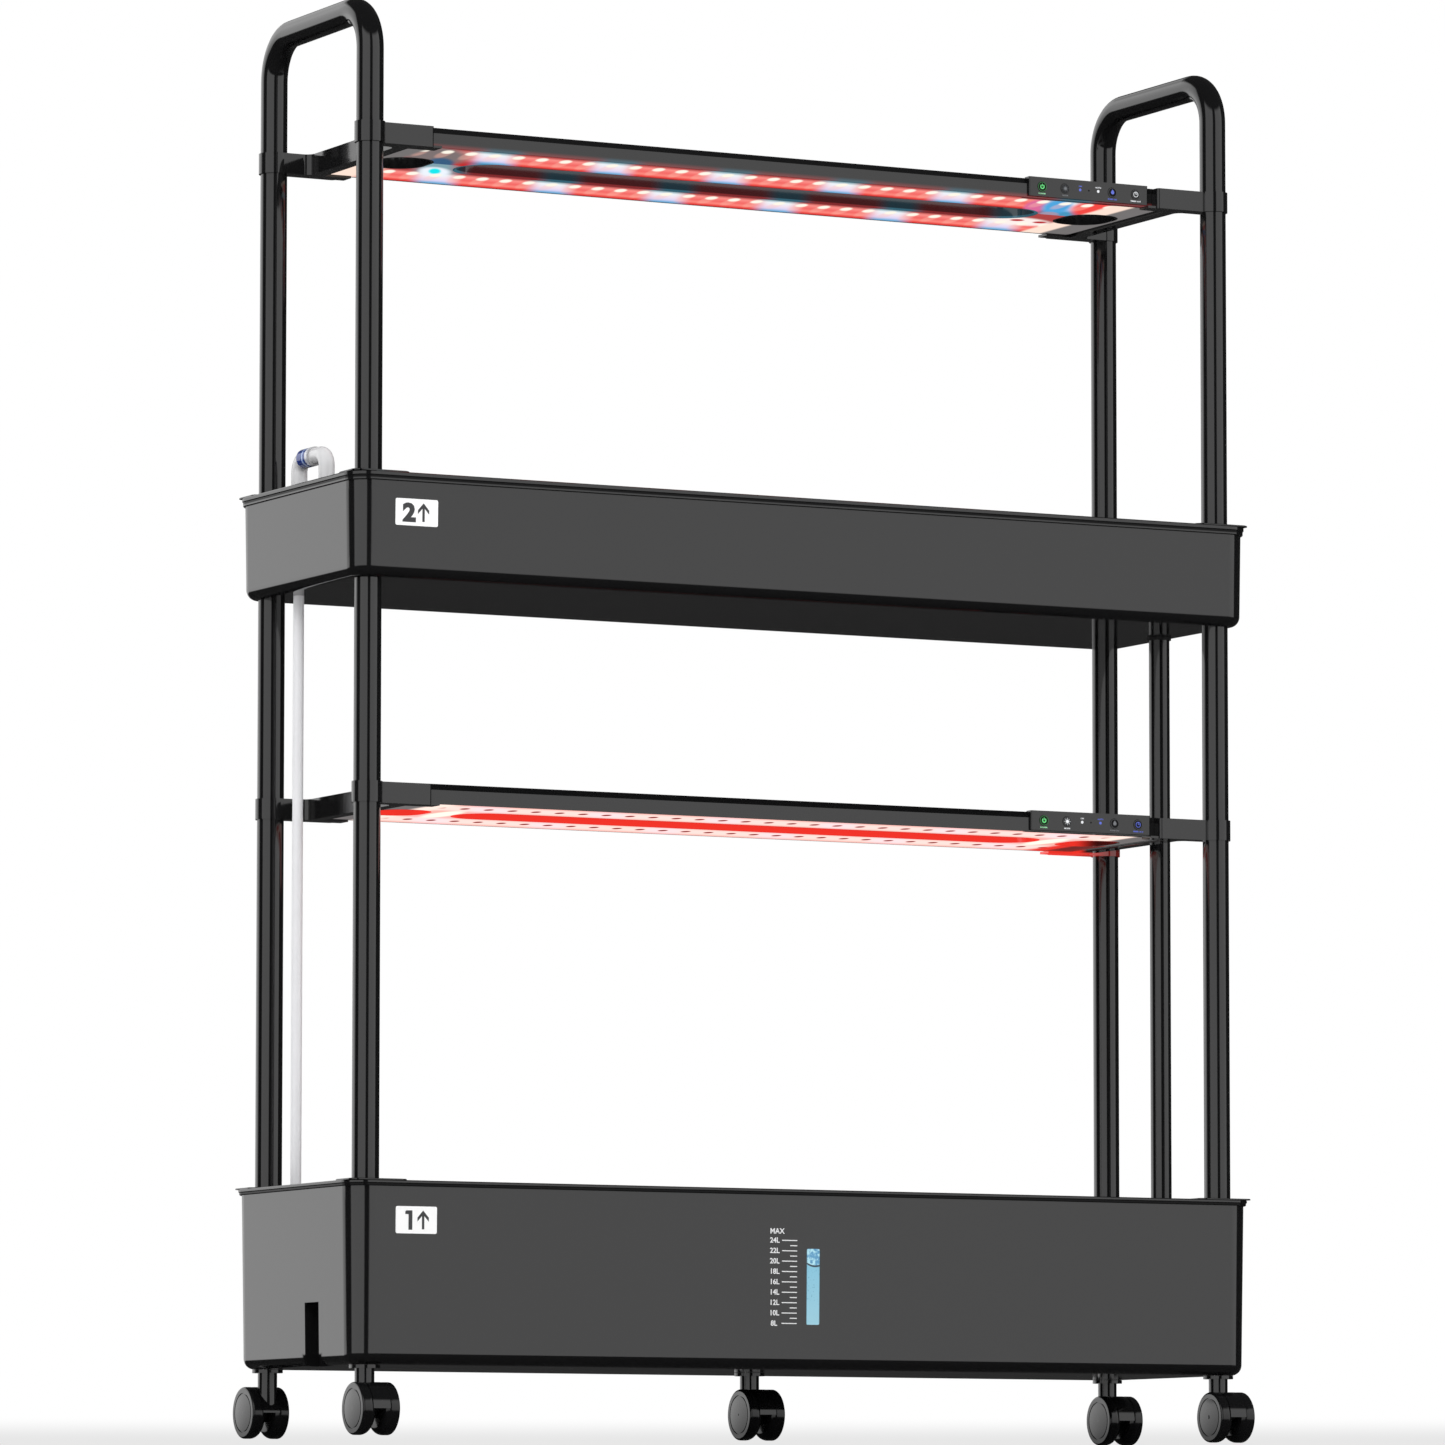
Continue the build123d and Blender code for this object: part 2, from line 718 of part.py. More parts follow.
def lamp_bracket(low, side):
    """Moulded end bracket: two collars on the posts, arms, a cross rail, sides and a shelf."""
    base = low - bracket_shelf
    top = base + bracket_height
    inner_y = lamp_half_width + lamp_edge_gap
    outer_y = inner_y + bracket_side_thickness
    rail_inner = lamp_half_length + bracket_rail_gap
    rail_outer = rail_inner + bracket_rail_thickness
    side_end = lamp_half_length - bracket_side_lap
    shelf_end = lamp_half_length - bracket_shelf_lap
    middle = inner_y - bracket_shelf_width
    arm_inner = outer_y - arm_thickness
    frame = block(side_end, rail_outer, -outer_y, outer_y, base, top)
    tips = frame.edges().filter_by(Axis.Z).group_by(Axis.X)[0]
    frame = fillet(tips, bracket_tip_radius)
    cavity = block(side_end - overrun, rail_inner, -inner_y, inner_y, low, top + overrun)
    cavity_edges = cavity.edges().filter_by(Axis.Z).group_by(Axis.X)[-1]
    cavity = fillet(cavity_edges, lamp_corner_radius - lamp_wall)
    frame -= cavity
    frame -= block(side_end - overrun, rail_inner, -middle, middle, base - overrun, low + overrun)
    for side_y in (-1, 1):
        shelf_low, shelf_high = sorted((side_y * middle, side_y * (outer_y - bracket_tip_radius)))
        frame += block(shelf_end, rail_inner, shelf_low, shelf_high, base, low)
        arm_low, arm_high = sorted((side_y * arm_inner, side_y * outer_y))
        frame += block(rail_inner + bracket_rail_thickness / 2, post_x, arm_low, arm_high, base, top)
        frame += bracket_gusset(rail_outer, side_y * arm_inner, -side_y, base, top)
        frame += rod(post_x, side_y * post_y, post_radius + collar_gap + collar_wall, base, top)
    for side_y in (-1, 1):
        frame -= rod(post_x, side_y * post_y, post_radius + collar_gap, base - overrun, top + overrun)
    if side < 0:
        frame = mirror(frame, Plane.YZ)
    return frame


def bracket_gusset(x, y, direction, low, high):
    """Concave web in the corner between the rail's outer face and an arm."""
    reach = y + direction * bracket_gusset_radius
    y_low, y_high = sorted((y, reach))
    web = block(x, x + bracket_gusset_radius, y_low, y_high, low, high)
    return web - rod(x + bracket_gusset_radius, reach, bracket_gusset_radius, low - overrun, high + overrun)


def control_panel(low):
    """Panel on the lamp's front with stepped bores for the buttons and small light holes."""
    body = panel_block(low, 0)
    upright = body.edges().filter_by(Axis.Z).group_by(Axis.Y)[0]
    body = fillet(upright, panel_corner_radius)
    front = panel_face_y - overrun
    skin = panel_face_y + panel_face_thickness
    rear = panel_face_y + panel_depth + overrun
    centre_z = low + panel_rise + panel_height / 2
    for x in button_places:
        front_bore = button_diameter / 2 + button_gap
        body -= along_y(x, centre_z, front_bore, front, rear)
        body -= along_y(x, centre_z, front_bore + button_flange, skin, rear)
    for x in indicator_places:
        body -= along_y(x, centre_z, indicator_diameter / 2, front, skin)
    return body - along_y(sensor_place, centre_z, sensor_diameter / 2, front, skin)


def along_y(x, z, radius, y_low, y_high):
    """Cylinder that runs front to back."""
    return Pos(x, (y_low + y_high) / 2, z) * Rot(90, 0, 0) * Cylinder(radius, y_high - y_low)


def push_button(low, x):
    """Round cap with a flange that holds it behind the panel's face."""
    centre_z = low + panel_rise + panel_height / 2
    cap_front = panel_face_y - button_proud
    cap = along_y(x, centre_z, button_diameter / 2, cap_front, panel_face_y + button_length)
    cap = chamfer(cap.edges().group_by(Axis.Y)[0], button_proud / 2)
    flange_y = panel_face_y + panel_face_thickness + button_rest_gap
    flange_radius = button_diameter / 2 + button_flange
    return cap + along_y(x, centre_z, flange_radius, flange_y, flange_y + button_flange_thickness)


def caster_wheel(side):
    """Wheel with a rounded inner shoulder and a ringed cap, about the axle along X."""
    inner_x = web_half_width + wheel_side_gap
    shoulder_x = inner_x + wheel_shoulder_radius
    shoulder_r = wheel_radius - wheel_shoulder_radius
    bore = axle_diameter / 2 + axle_running_gap
    bore_end = caster_half_width - wheel_disc_thickness
    edge_x = caster_half_width - wheel_edge_radius
    edge_r = wheel_radius - wheel_edge_radius
    cap_x = caster_half_width + caster_cap_dome
    dome_radius = (wheel_ring_inner ** 2 + caster_cap_dome ** 2) / (2 * caster_cap_dome)
    ring_x = caster_half_width - wheel_ring_depth
    profile = Curve() + [
        Line((bore_end, 0), (bore_end, bore)),
        Line((bore_end, bore), (inner_x, bore)),
        Line((inner_x, bore), (inner_x, shoulder_r)),
        RadiusArc((inner_x, shoulder_r), (shoulder_x, wheel_radius), wheel_shoulder_radius),
        Line((shoulder_x, wheel_radius), (edge_x, wheel_radius)),
        RadiusArc((edge_x, wheel_radius), (caster_half_width, edge_r), wheel_edge_radius),
        Polyline(
            (caster_half_width, edge_r),
            (caster_half_width, wheel_ring_outer),
            (ring_x, wheel_ring_outer),
            (ring_x, wheel_ring_inner),
            (caster_half_width, wheel_ring_inner),
        ),
        RadiusArc((caster_half_width, wheel_ring_inner), (cap_x, 0), dome_radius),
        Line((cap_x, 0), (bore_end, 0)),
    ]
    wheel = revolve(Plane.XZ * make_face(profile), Axis.X)
    if side < 0:
        wheel = mirror(wheel, Plane.YZ)
    return wheel


def wheel_envelope():
    """Room that one turning wheel needs, about the axle along X."""
    inner_x = web_half_width
    grown_shoulder = wheel_shoulder_radius + wheel_side_gap
    grown_radius = wheel_radius + wheel_side_gap
    shoulder_r = grown_radius - grown_shoulder
    shoulder_x = inner_x + grown_shoulder
    far_x = 2 * shoulder_x
    profile = Curve() + [
        Line((inner_x, 0), (inner_x, shoulder_r)),
        RadiusArc((inner_x, shoulder_r), (shoulder_x, grown_radius), grown_shoulder),
        Polyline((shoulder_x, grown_radius), (far_x, grown_radius), (far_x, 0), (inner_x, 0)),
    ]
    return revolve(Plane.XZ * make_face(profile), Axis.X)


def caster_hood(direction):
    """Hood, neck and swivel pin of a caster; local origin where the swivel axis meets the floor."""
    axle = Pos(0, direction * caster_trail, wheel_radius)
    neck_top = tank_bottom_z - stem_seat_gap
    cowl_half = 2 * wheel_shoulder_radius / 3 + web_half_width
    cowl = Rot(0, 90, 0) * Cylinder(wheel_radius, 2 * cowl_half)
    cowl -= Pos(0, 0, -wheel_radius) * Box(2 * wheel_diameter, 2 * wheel_diameter, 2 * wheel_radius)
    cowl += Rot(0, 90, 0) * Cylinder(hub_diameter / 2, 2 * web_half_width)
    hood = axle * cowl + rod(0, 0, stem_diameter / 2, wheel_radius, neck_top - stem_flange_height)
    room = wheel_envelope()
    hood = hood - axle * room - axle * mirror(room, Plane.YZ)
    hood -= axle * Rot(0, 90, 0) * Cylinder(axle_diameter / 2, stem_diameter + overrun)
    hood += rod(0, 0, stem_flange_diameter / 2, neck_top - stem_flange_height, neck_top)
    pin_top = tank_bottom_z + pin_length - stem_seat_gap
    return hood + rod(0, 0, pin_diameter / 2, neck_top, pin_top)


def caster_axle(direction):
    """Steel axle pressed through the hood's web."""
    place = Pos(0, direction * caster_trail, wheel_radius) * Rot(0, 90, 0)
    return place * Cylinder(axle_diameter / 2, 2 * axle_half_length)


def write(name, shape):
    """Write one named piece, or a group of separate solids, to its own file."""
    solids = shape if isinstance(shape, list) else [shape]
    solids = [solid for item in solids for solid in item.solids()]
    whole = solids[0] if len(solids) == 1 else Compound(solids)
    whole.label = name
    export_step(whole, os.path.join("parts", name + ".step"))


def write_tubs():
    """Tank, tray, decks, window and everything that hangs in the decks."""
    drain_hole = (drain_x, 0, drain_diameter / 2 + drain_hole_gap)
    riser_hole = (riser_x, riser_y, riser_diameter / 2 + riser_hole_gap)
    elbow_hole = elbow_diameter / 2 + riser_hole_gap
    elbow_holes = [(riser_x, riser_y, elbow_hole), (riser_x, riser_y - elbow_span, elbow_hole)]
    write("reservoir_tank", reservoir_tank())
    write("reservoir_deck", deck(tank, [drain_hole, riser_hole]))
    write("level_window", level_window())
    write("upper_tray", upper_tray())
    write("upper_deck", deck(tray, elbow_holes))
    basket = net_basket()
    sponge = grow_sponge()
    for tier, tub in (("lower", tank), ("upper", tray)):
        write(tier + "_corner_plates", corner_plates(tub))
        write(tier + "_net_baskets", hung_in_holes(basket, tub))
        write(tier + "_grow_sponges", hung_in_holes(sponge, tub))


def write_frame():
    """Posts and handle loops."""
    names = {(-1, -1): "front_left", (1, -1): "front_right", (-1, 1): "rear_left", (1, 1): "rear_right"}
    for (side_x, side_y), name in names.items():
        write("post_" + name, lower_post(side_x * post_x, side_y * post_y))
    write("handle_loop_left", handle_loop(-1))
    write("handle_loop_right", handle_loop(1))


def write_water_path():
    """Pump, riser, elbows, overflow and seals."""
    write("pump", pump())
    write("riser_tube", riser_tube())
    write("riser_elbows", riser_elbows())
    write("coupling_ring", coupling_ring())
    write("drain_pipe", drain_pipe())
    write("drain_seal", drain_seal())
    write("overflow_strainer", overflow_strainer())


def write_lamps():
    """Both lamps with their brackets, panels and buttons."""
    button_names = ("power", "mode", "pump", "timer")
    for tier, low in (("lower", lower_lamp_bottom_z), ("upper", upper_lamp_bottom_z)):
        write(tier + "_lamp_housing", lamp_housing(low))
        write(tier + "_led_board", led_board(low))
        write(tier + "_diffuser", lamp_diffuser(low))
        write(tier + "_control_panel", control_panel(low))
        write(tier + "_bracket_left", lamp_bracket(low, -1))
        write(tier + "_bracket_right", lamp_bracket(low, 1))
        for name, x in zip(button_names, button_places):
            write(tier + "_button_" + name, push_button(low, x))


def write_casters():
    """Five casters; the rear left one trails backwards, the others forwards."""
    places = {
        "front_left": (-post_x, -post_y, -1),
        "front_right": (post_x, -post_y, -1),
        "rear_left": (-post_x, post_y, 1),
        "rear_right": (post_x, post_y, -1),
        "centre": (0, 0, -1),
    }
    for name, (x, y, direction) in places.items():
        place = Pos(x, y, 0)
        axle = Pos(x, y + direction * caster_trail, wheel_radius)
        write("caster_" + name, [place * caster_hood(direction), place * caster_axle(direction)])
        write("caster_" + name + "_wheel_left", axle * caster_wheel(-1))
        write("caster_" + name + "_wheel_right", axle * caster_wheel(1))


os.makedirs("parts", exist_ok=True)
write_tubs()
write_frame()
write_water_path()
write_lamps()
write_casters()
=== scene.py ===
import math

import bmesh
import bpy
from mathutils import Matrix, Vector, noise


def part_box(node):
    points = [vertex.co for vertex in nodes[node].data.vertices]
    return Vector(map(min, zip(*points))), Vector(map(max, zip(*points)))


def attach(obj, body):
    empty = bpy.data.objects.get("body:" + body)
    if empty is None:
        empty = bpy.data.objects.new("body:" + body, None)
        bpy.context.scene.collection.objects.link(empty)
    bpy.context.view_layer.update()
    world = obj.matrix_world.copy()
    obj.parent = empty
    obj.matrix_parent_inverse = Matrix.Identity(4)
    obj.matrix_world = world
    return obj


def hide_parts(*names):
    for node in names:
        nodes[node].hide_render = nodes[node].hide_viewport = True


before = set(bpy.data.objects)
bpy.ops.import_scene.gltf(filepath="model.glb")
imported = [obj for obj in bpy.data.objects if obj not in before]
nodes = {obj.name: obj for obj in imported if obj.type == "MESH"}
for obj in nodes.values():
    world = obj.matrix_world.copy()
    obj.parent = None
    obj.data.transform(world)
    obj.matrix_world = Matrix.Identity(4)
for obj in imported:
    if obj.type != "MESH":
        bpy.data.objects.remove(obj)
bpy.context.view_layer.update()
scene = bpy.context.scene
scene.view_settings.view_transform = "Standard"

# Camera: the photograph was taken with a long lens from the front left, from just
# under floor level, so the uprights stay nearly parallel and each tier shows its underside.
camera_data = bpy.data.cameras.new("camera")
camera_data.sensor_width = 36
camera_data.lens = 219.3
camera_data.shift_x = -0.01719
camera_data.shift_y = 0.02563
camera_data.clip_start = 0.1
camera_data.clip_end = 100
camera = bpy.data.objects.new("camera", camera_data)
camera.location = (-3.86599, -7.34891, -0.13320)
camera.rotation_euler = [math.radians(turn) for turn in (95.345, -0.017, -27.734)]
scene.collection.objects.link(camera)
scene.camera = camera


# Reservoir tank: one deep injection-moulded tub of black plastic with drafted walls,
# which stands on the five casters and carries the four posts in its corners.
rack_black = (0.006, 0.006, 0.0063)
rack_roughness = 0.08


def new_material(name):
    material = bpy.data.materials.new(name)
    material.use_nodes = True
    tree = material.node_tree
    shader = tree.nodes["Principled BSDF"]
    place = tree.nodes.new("ShaderNodeTexCoord").outputs["Object"]
    return material, tree, shader, place


def cloud(tree, place, per_metre, detail=2.0):
    """Soft uneven pattern, with its scale given in waves to the metre."""
    pattern = tree.nodes.new("ShaderNodeTexNoise")
    pattern.inputs["Scale"].default_value = per_metre
    pattern.inputs["Detail"].default_value = detail
    tree.links.new(place, pattern.inputs["Vector"])
    return pattern.outputs["Fac"]


def between(tree, value, low, high, start=0.0, end=1.0, smooth=False):
    """Value carried from the range start to end into the range low to high."""
    node = tree.nodes.new("ShaderNodeMapRange")
    if smooth:
        node.interpolation_type = "SMOOTHSTEP"
    sockets = ("From Min", "From Max", "To Min", "To Max")
    for socket, number in zip(sockets, (start, end, low, high)):
        node.inputs[socket].default_value = number
    tree.links.new(value, node.inputs["Value"])
    return node.outputs["Result"]


def mixed(tree, share, first, second):
    """Colour that goes from the first to the second as share goes from 0 to 1."""
    node = tree.nodes.new("ShaderNodeMix")
    node.data_type = "RGBA"
    given = ((node.inputs[0], share), (node.inputs[6], first), (node.inputs[7], second))
    for socket, value in given:
        if isinstance(value, (int, float)):
            socket.default_value = value
        elif isinstance(value, tuple):
            socket.default_value = (*value, 1)
        else:
            tree.links.new(value, socket)
    return node.outputs[2]


def grained(tree, shader, place, per_metre, depth):
    """Fine raised grain on the shader's normal, depth in metres."""
    bump = tree.nodes.new("ShaderNodeBump")
    bump.inputs["Strength"].default_value = 0.2
    bump.inputs["Distance"].default_value = depth
    tree.links.new(cloud(tree, place, per_metre, 3.0), bump.inputs["Height"])
    tree.links.new(bump.outputs["Normal"], shader.inputs["Normal"])


def moulded_plastic(name, colour, roughness, grain_per_metre=900.0, grain_depth=0.00003):
    """Plastic coloured through: faint clouding, a slightly uneven gloss and a fine tool grain."""
    material, tree, shader, place = new_material(name)
    drift = cloud(tree, place, 14.0)
    darker = tuple(channel * 0.93 for channel in colour)
    lighter = tuple(channel * 1.07 for channel in colour)
    tree.links.new(mixed(tree, drift, darker, lighter), shader.inputs["Base Color"])
    gloss = between(tree, drift, roughness - 0.01, roughness + 0.02)
    tree.links.new(gloss, shader.inputs["Roughness"])
    grained(tree, shader, place, grain_per_metre, grain_depth)
    return material


def dress(material, *names):
    """Gives carried CAD nodes their material."""
    for name in names:
        mesh = nodes[name].data
        mesh.materials.clear()
        mesh.materials.append(material)


def worked(tree, operation, *values):
    """Result of one sum on numbers or sockets."""
    node = tree.nodes.new("ShaderNodeMath")
    node.operation = operation
    for socket, value in zip(node.inputs, values):
        if isinstance(value, (int, float)):
            socket.default_value = value
        else:
            tree.links.new(value, socket)
    return node.outputs[0]


def parted(tree, place):
    """The three coordinates of a place."""
    node = tree.nodes.new("ShaderNodeSeparateXYZ")
    tree.links.new(place, node.inputs[0])
    return node.outputs


def ramp_of(tree, stops, stepped=False):
    """Colour ramp with its stops given as places and colours."""
    node = tree.nodes.new("ShaderNodeValToRGB")
    if stepped:
        node.color_ramp.interpolation = "CONSTANT"
    marks = node.color_ramp.elements
    marks.remove(marks[1])
    marks[0].position = stops[0][0]
    marks[0].color = (*stops[0][1], 1)
    for position, colour in stops[1:]:
        marks.new(position).color = (*colour, 1)
    return node


tank_crease_z = 0.2272
tray_crease_z = 0.8735
crease_reach = (0.0010, 0.0018)
recess_middle_y = -0.039
recess_side = (0.019, 0.023)
recess_head_z = (0.0740, 0.0760)
recess_back_x = (-0.455, -0.450)


def tub_with_shaded_rim(name, rim_z, recess_y=None):
    """The tubs' plastic, with painted shade: no shine in the crease under the rim and at the
    recess.
    """
    material = moulded_plastic(name, rack_black, rack_roughness)
    tree = material.node_tree
    place = tree.nodes["Texture Coordinate"].outputs["Object"]
    x, y, z = parted(tree, place)
    off_crease = worked(tree, "ABSOLUTE", worked(tree, "SUBTRACT", z, rim_z))
    shine = between(tree, off_crease, 0.06, 0.5, *crease_reach)
    if recess_y:
        off_recess = worked(tree, "ABSOLUTE", worked(tree, "SUBTRACT", y, recess_y))
        beside = between(tree, off_recess, 0.0, 1.0, *recess_side)
        over = between(tree, z, 0.0, 1.0, *recess_head_z)
        inward = between(tree, x, 0.0, 1.0, *recess_back_x)
        lit = worked(tree, "MAXIMUM", worked(tree, "MAXIMUM", beside, over), inward)
        shine = worked(tree, "MULTIPLY", shine, lit)
    # Painted shade: the shine is taken off in the crease under the rim and at the recess's foot.
    tree.links.new(shine, tree.nodes["Principled BSDF"].inputs["Specular IOR Level"])
    return material


dress(tub_with_shaded_rim("tank_plastic", tank_crease_z, recess_middle_y), "reservoir_tank")


# Print on the tank: a white label with the tier's number, and the litre scale beside
# the window, both thin prints on the drafted front wall.
def joined_mesh(name, parts):
    """One mesh from several, each moved by its own matrix."""
    form = bmesh.new()
    for mesh, place in parts:
        count = len(form.verts)
        form.from_mesh(mesh)
        form.verts.ensure_lookup_table()
        bmesh.ops.transform(form, matrix=place, verts=form.verts[count:])
    out = bpy.data.meshes.new(name)
    form.to_mesh(out)
    form.free()
    return out


def fitted(name, mesh, material, body):
    """A finished piece at the origin that rides on a body."""
    if material is not None:
        mesh.materials.clear()
        mesh.materials.append(material)
    piece = bpy.data.objects.new(name, mesh)
    scene.collection.objects.link(piece)
    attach(piece, body)
    return piece


def prism(outline, depth):
    """Flat form with the outline of the points (x, y), from z 0 to z depth."""
    form = bmesh.new()
    face = form.faces.new([form.verts.new((x, y, 0)) for x, y in outline])
    face.normal_update()
    if face.normal.z > 0:
        face.normal_flip()
    raised = bmesh.ops.extrude_face_region(form, geom=[face])
    moved = [part for part in raised["geom"] if isinstance(part, bmesh.types.BMVert)]
    bmesh.ops.translate(form, vec=(0, 0, depth), verts=moved)
    bmesh.ops.recalc_face_normals(form, faces=form.faces)
    mesh = bpy.data.meshes.new("prism")
    form.to_mesh(mesh)
    form.free()
    return mesh


def rounded_outline(width, height, radius, steps=6):
    """Rectangle about the origin with rounded corners."""
    points = []
    for quarter in range(4):
        across = (width / 2 - radius) * (1 if quarter in (0, 3) else -1)
        along = (height / 2 - radius) * (1 if quarter in (0, 1) else -1)
        for step in range(steps + 1):
            turn = math.pi / 2 * (quarter + step / steps)
            points.append((across + radius * math.cos(turn), along + radius * math.sin(turn)))
    return points


def bar(x_low, x_high, y_low, y_high):
    return ((x_low, y_low), (x_high, y_low), (x_high, y_high), (x_low, y_high))


print_depth = 0.0001


def lettered(words, size, weight=0.0):
    """Printed figures as a mesh, with their left foot at the origin."""
    curve = bpy.data.curves.new("figures", "FONT")
    curve.body = words
    curve.size = size
    curve.offset = weight
    curve.extrude = print_depth / 2
    curve.resolution_u = 3
    source = bpy.data.objects.new("figures", curve)
    scene.collection.objects.link(source)
    evaluated = source.evaluated_get(bpy.context.evaluated_depsgraph_get())
    mesh = bpy.data.meshes.new_from_object(evaluated)
    bpy.data.objects.remove(source)
    return mesh


def on_front(wall, x, z, proud=0.00005):
    """Matrix that lays a flat form on a tub's front wall, its y up the wall."""
    foot_y, foot_z, head_y, head_z = wall
    lean = math.atan2(foot_y - head_y, head_z - foot_z)
    y = foot_y + (head_y - foot_y) * (z - foot_z) / (head_z - foot_z)
    return Matrix.Translation((x, y - proud, z)) @ Matrix.Rotation(math.pi / 2 + lean, 4, "X")


def print_ink(name, colour):
    """Screen-printed ink: fairly matt, with a faintly mottled cover."""
    material, tree, shader, place = new_material(name)
    cover = cloud(tree, place, 2600.0)
    thin = tuple(channel * 0.9 for channel in colour)
    tree.links.new(mixed(tree, cover, thin, colour), shader.inputs["Base Color"])
    shader.inputs["Roughness"].default_value = 0.45
    return material


label_corner_radius = 0.0016
label_depth = 0.0003
figure_left = 0.0140
arrow_right = 0.0068
figure_proud, shaft_proud, head_proud = 0.0004, 0.00032, 0.00034
arrow_shaft = bar(-0.0012, 0.0012, -0.0084, 0.0060)
arrow_head = (
    (0, 0.0087), (0.0057, 0.0022), (0.0057, -0.0014),
    (0, 0.0050), (-0.0057, -0.0014), (-0.0057, 0.0022),
)


def number_label(name, figure, figure_drop, wall, left, right, low, high, body):
    """White label with a bold figure and an arrow that points up."""
    width, height = right - left, high - low
    mid_x, mid_z = (left + right) / 2, (low + high) / 2
    face = prism(rounded_outline(width, height, label_corner_radius), label_depth)
    label = joined_mesh(name, [(face, on_front(wall, mid_x, mid_z))])
    fitted(name + "_label", label, label_white, body)
    shaft = prism(arrow_shaft, print_depth)
    head = prism(arrow_head, print_depth)
    marks = [
        (figure, on_front(wall, mid_x - figure_left, mid_z - figure_drop, figure_proud)),
        (shaft, on_front(wall, mid_x + arrow_right, mid_z, shaft_proud)),
        (head, on_front(wall, mid_x + arrow_right, mid_z, head_proud)),
    ]
    fitted(name + "_number", joined_mesh(name, marks), label_grey, body)


label_white = print_ink("label_white", (0.98, 0.98, 0.98))
label_grey = print_ink("label_grey", (0.03, 0.031, 0.034))
scale_white = print_ink("scale_white", (0.80, 0.81, 0.82))
tank_wall_face = (-0.1274, 0.064, -0.1301, 0.2278)
flagged_one = (
    (0.0061, 0), (0.0099, 0), (0.0099, 0.0176), (0.0040, 0.0176),
    (0.0028, 0.0166), (0.0028, 0.0142), (0.0061, 0.0142),
)
number_label(
    "tank", prism(flagged_one, print_depth), 0.0090, tank_wall_face,
    -0.43085, -0.38945, 0.1827, 0.2074, "stand",
)


def repeat_tree(name, material):
    """Geometry Nodes that set a unit at each crossing of a grid of columns and rows."""
    tree = bpy.data.node_groups.new(name, "GeometryNodeTree")
    wanted = (
        ("Unit", "NodeSocketObject"), ("Start", "NodeSocketVector"),
        ("Columns", "NodeSocketInt"), ("Column Step", "NodeSocketVector"),
        ("Rows", "NodeSocketInt"), ("Row Step", "NodeSocketVector"),
    )
    for label, kind in wanted:
        tree.interface.new_socket(label, in_out="INPUT", socket_type=kind)
    tree.interface.new_socket("Geometry", in_out="OUTPUT", socket_type="NodeSocketGeometry")
    given = tree.nodes.new("NodeGroupInput")
    line = tree.nodes.new("GeometryNodeMeshLine")
    rank = tree.nodes.new("GeometryNodeMeshLine")
    spread = tree.nodes.new("GeometryNodeInstanceOnPoints")
    unit = tree.nodes.new("GeometryNodeObjectInfo")
    repeat = tree.nodes.new("GeometryNodeInstanceOnPoints")
    solid = tree.nodes.new("GeometryNodeRealizeInstances")
    finish = tree.nodes.new("GeometryNodeSetMaterial")
    finish.inputs["Material"].default_value = material
    out = tree.nodes.new("NodeGroupOutput")
    grid = tree.nodes.new("GeometryNodeRealizeInstances")
    joins = (
        (given.outputs["Columns"], line.inputs["Count"]),
        (given.outputs["Start"], line.inputs["Start Location"]),
        (given.outputs["Column Step"], line.inputs["Offset"]),
        (given.outputs["Rows"], rank.inputs["Count"]),
        (given.outputs["Row Step"], rank.inputs["Offset"]),
        (line.outputs["Mesh"], spread.inputs["Points"]),
        (rank.outputs["Mesh"], spread.inputs["Instance"]),
        (spread.outputs["Instances"], grid.inputs["Geometry"]),
        (grid.outputs["Geometry"], repeat.inputs["Points"]),
        (given.outputs["Unit"], unit.inputs["Object"]),
        (unit.outputs["Geometry"], repeat.inputs["Instance"]),
        (repeat.outputs["Instances"], solid.inputs["Geometry"]),
        (solid.outputs["Geometry"], finish.inputs["Geometry"]),
        (finish.outputs["Geometry"], out.inputs["Geometry"]),
    )
    for source, target in joins:
        tree.links.new(source, target)
    return tree


def repeated(name, unit_mesh, tree, start, columns, column_step, rows=1, row_step=(0, 0, 0)):
    """Plain mesh of a unit repeated in columns and rows by the tree."""
    unit = bpy.data.objects.new(name + "_unit", unit_mesh)
    scene.collection.objects.link(unit)
    holder = bpy.data.objects.new(name + "_holder", bpy.data.meshes.new(name))
    scene.collection.objects.link(holder)
    modifier = holder.modifiers.new("repeat", "NODES")
    modifier.node_group = tree
    settings = {
        "Unit": unit, "Start": start, "Columns": columns, "Column Step": column_step,
        "Rows": rows, "Row Step": row_step,
    }
    for item in tree.interface.items_tree:
        if item.in_out == "INPUT":
            modifier[item.identifier] = settings[item.name]
    bpy.context.view_layer.update()
    evaluated = holder.evaluated_get(bpy.context.evaluated_depsgraph_get())
    mesh = bpy.data.meshes.new_from_object(evaluated)
    bpy.data.objects.remove(holder)
    bpy.data.objects.remove(unit)
    return mesh


scale_low_z = 0.1066
scale_high_z = 0.1835
scale_right_x = -0.0179
litre_marks = 9
first_litres = 8
litres_step = 2
figure_x = -0.0466
one_digit_shift = 0.0014
figure_foot = 0.0022
most_z = 0.1897
print_proud = 0.0001
mark_step = (scale_high_z - scale_low_z) / (litre_marks - 1)
foot_y, foot_z, head_y, head_z = tank_wall_face
tank_lean = (foot_y - head_y) / (head_z - foot_z)
ticks = repeat_tree("scale_ticks", scale_white)
scale_parts = []
for label, length, count, first_z in (
    ("long", 0.0160, litre_marks, scale_low_z),
    ("short", 0.0075, litre_marks - 1, scale_low_z + mark_step / 2),
):
    tick = prism(rounded_outline(length, 0.0009, 0.0003, 2), print_depth)
    place = on_front(tank_wall_face, scale_right_x - length / 2, first_z)
    laid = joined_mesh("tick", [(tick, place)])
    step = (0, -tank_lean * mark_step, mark_step)
    row = repeated(label + "_ticks", laid, ticks, (0, 0, 0), count, step)
    scale_parts.append((row, Matrix.Identity(4)))
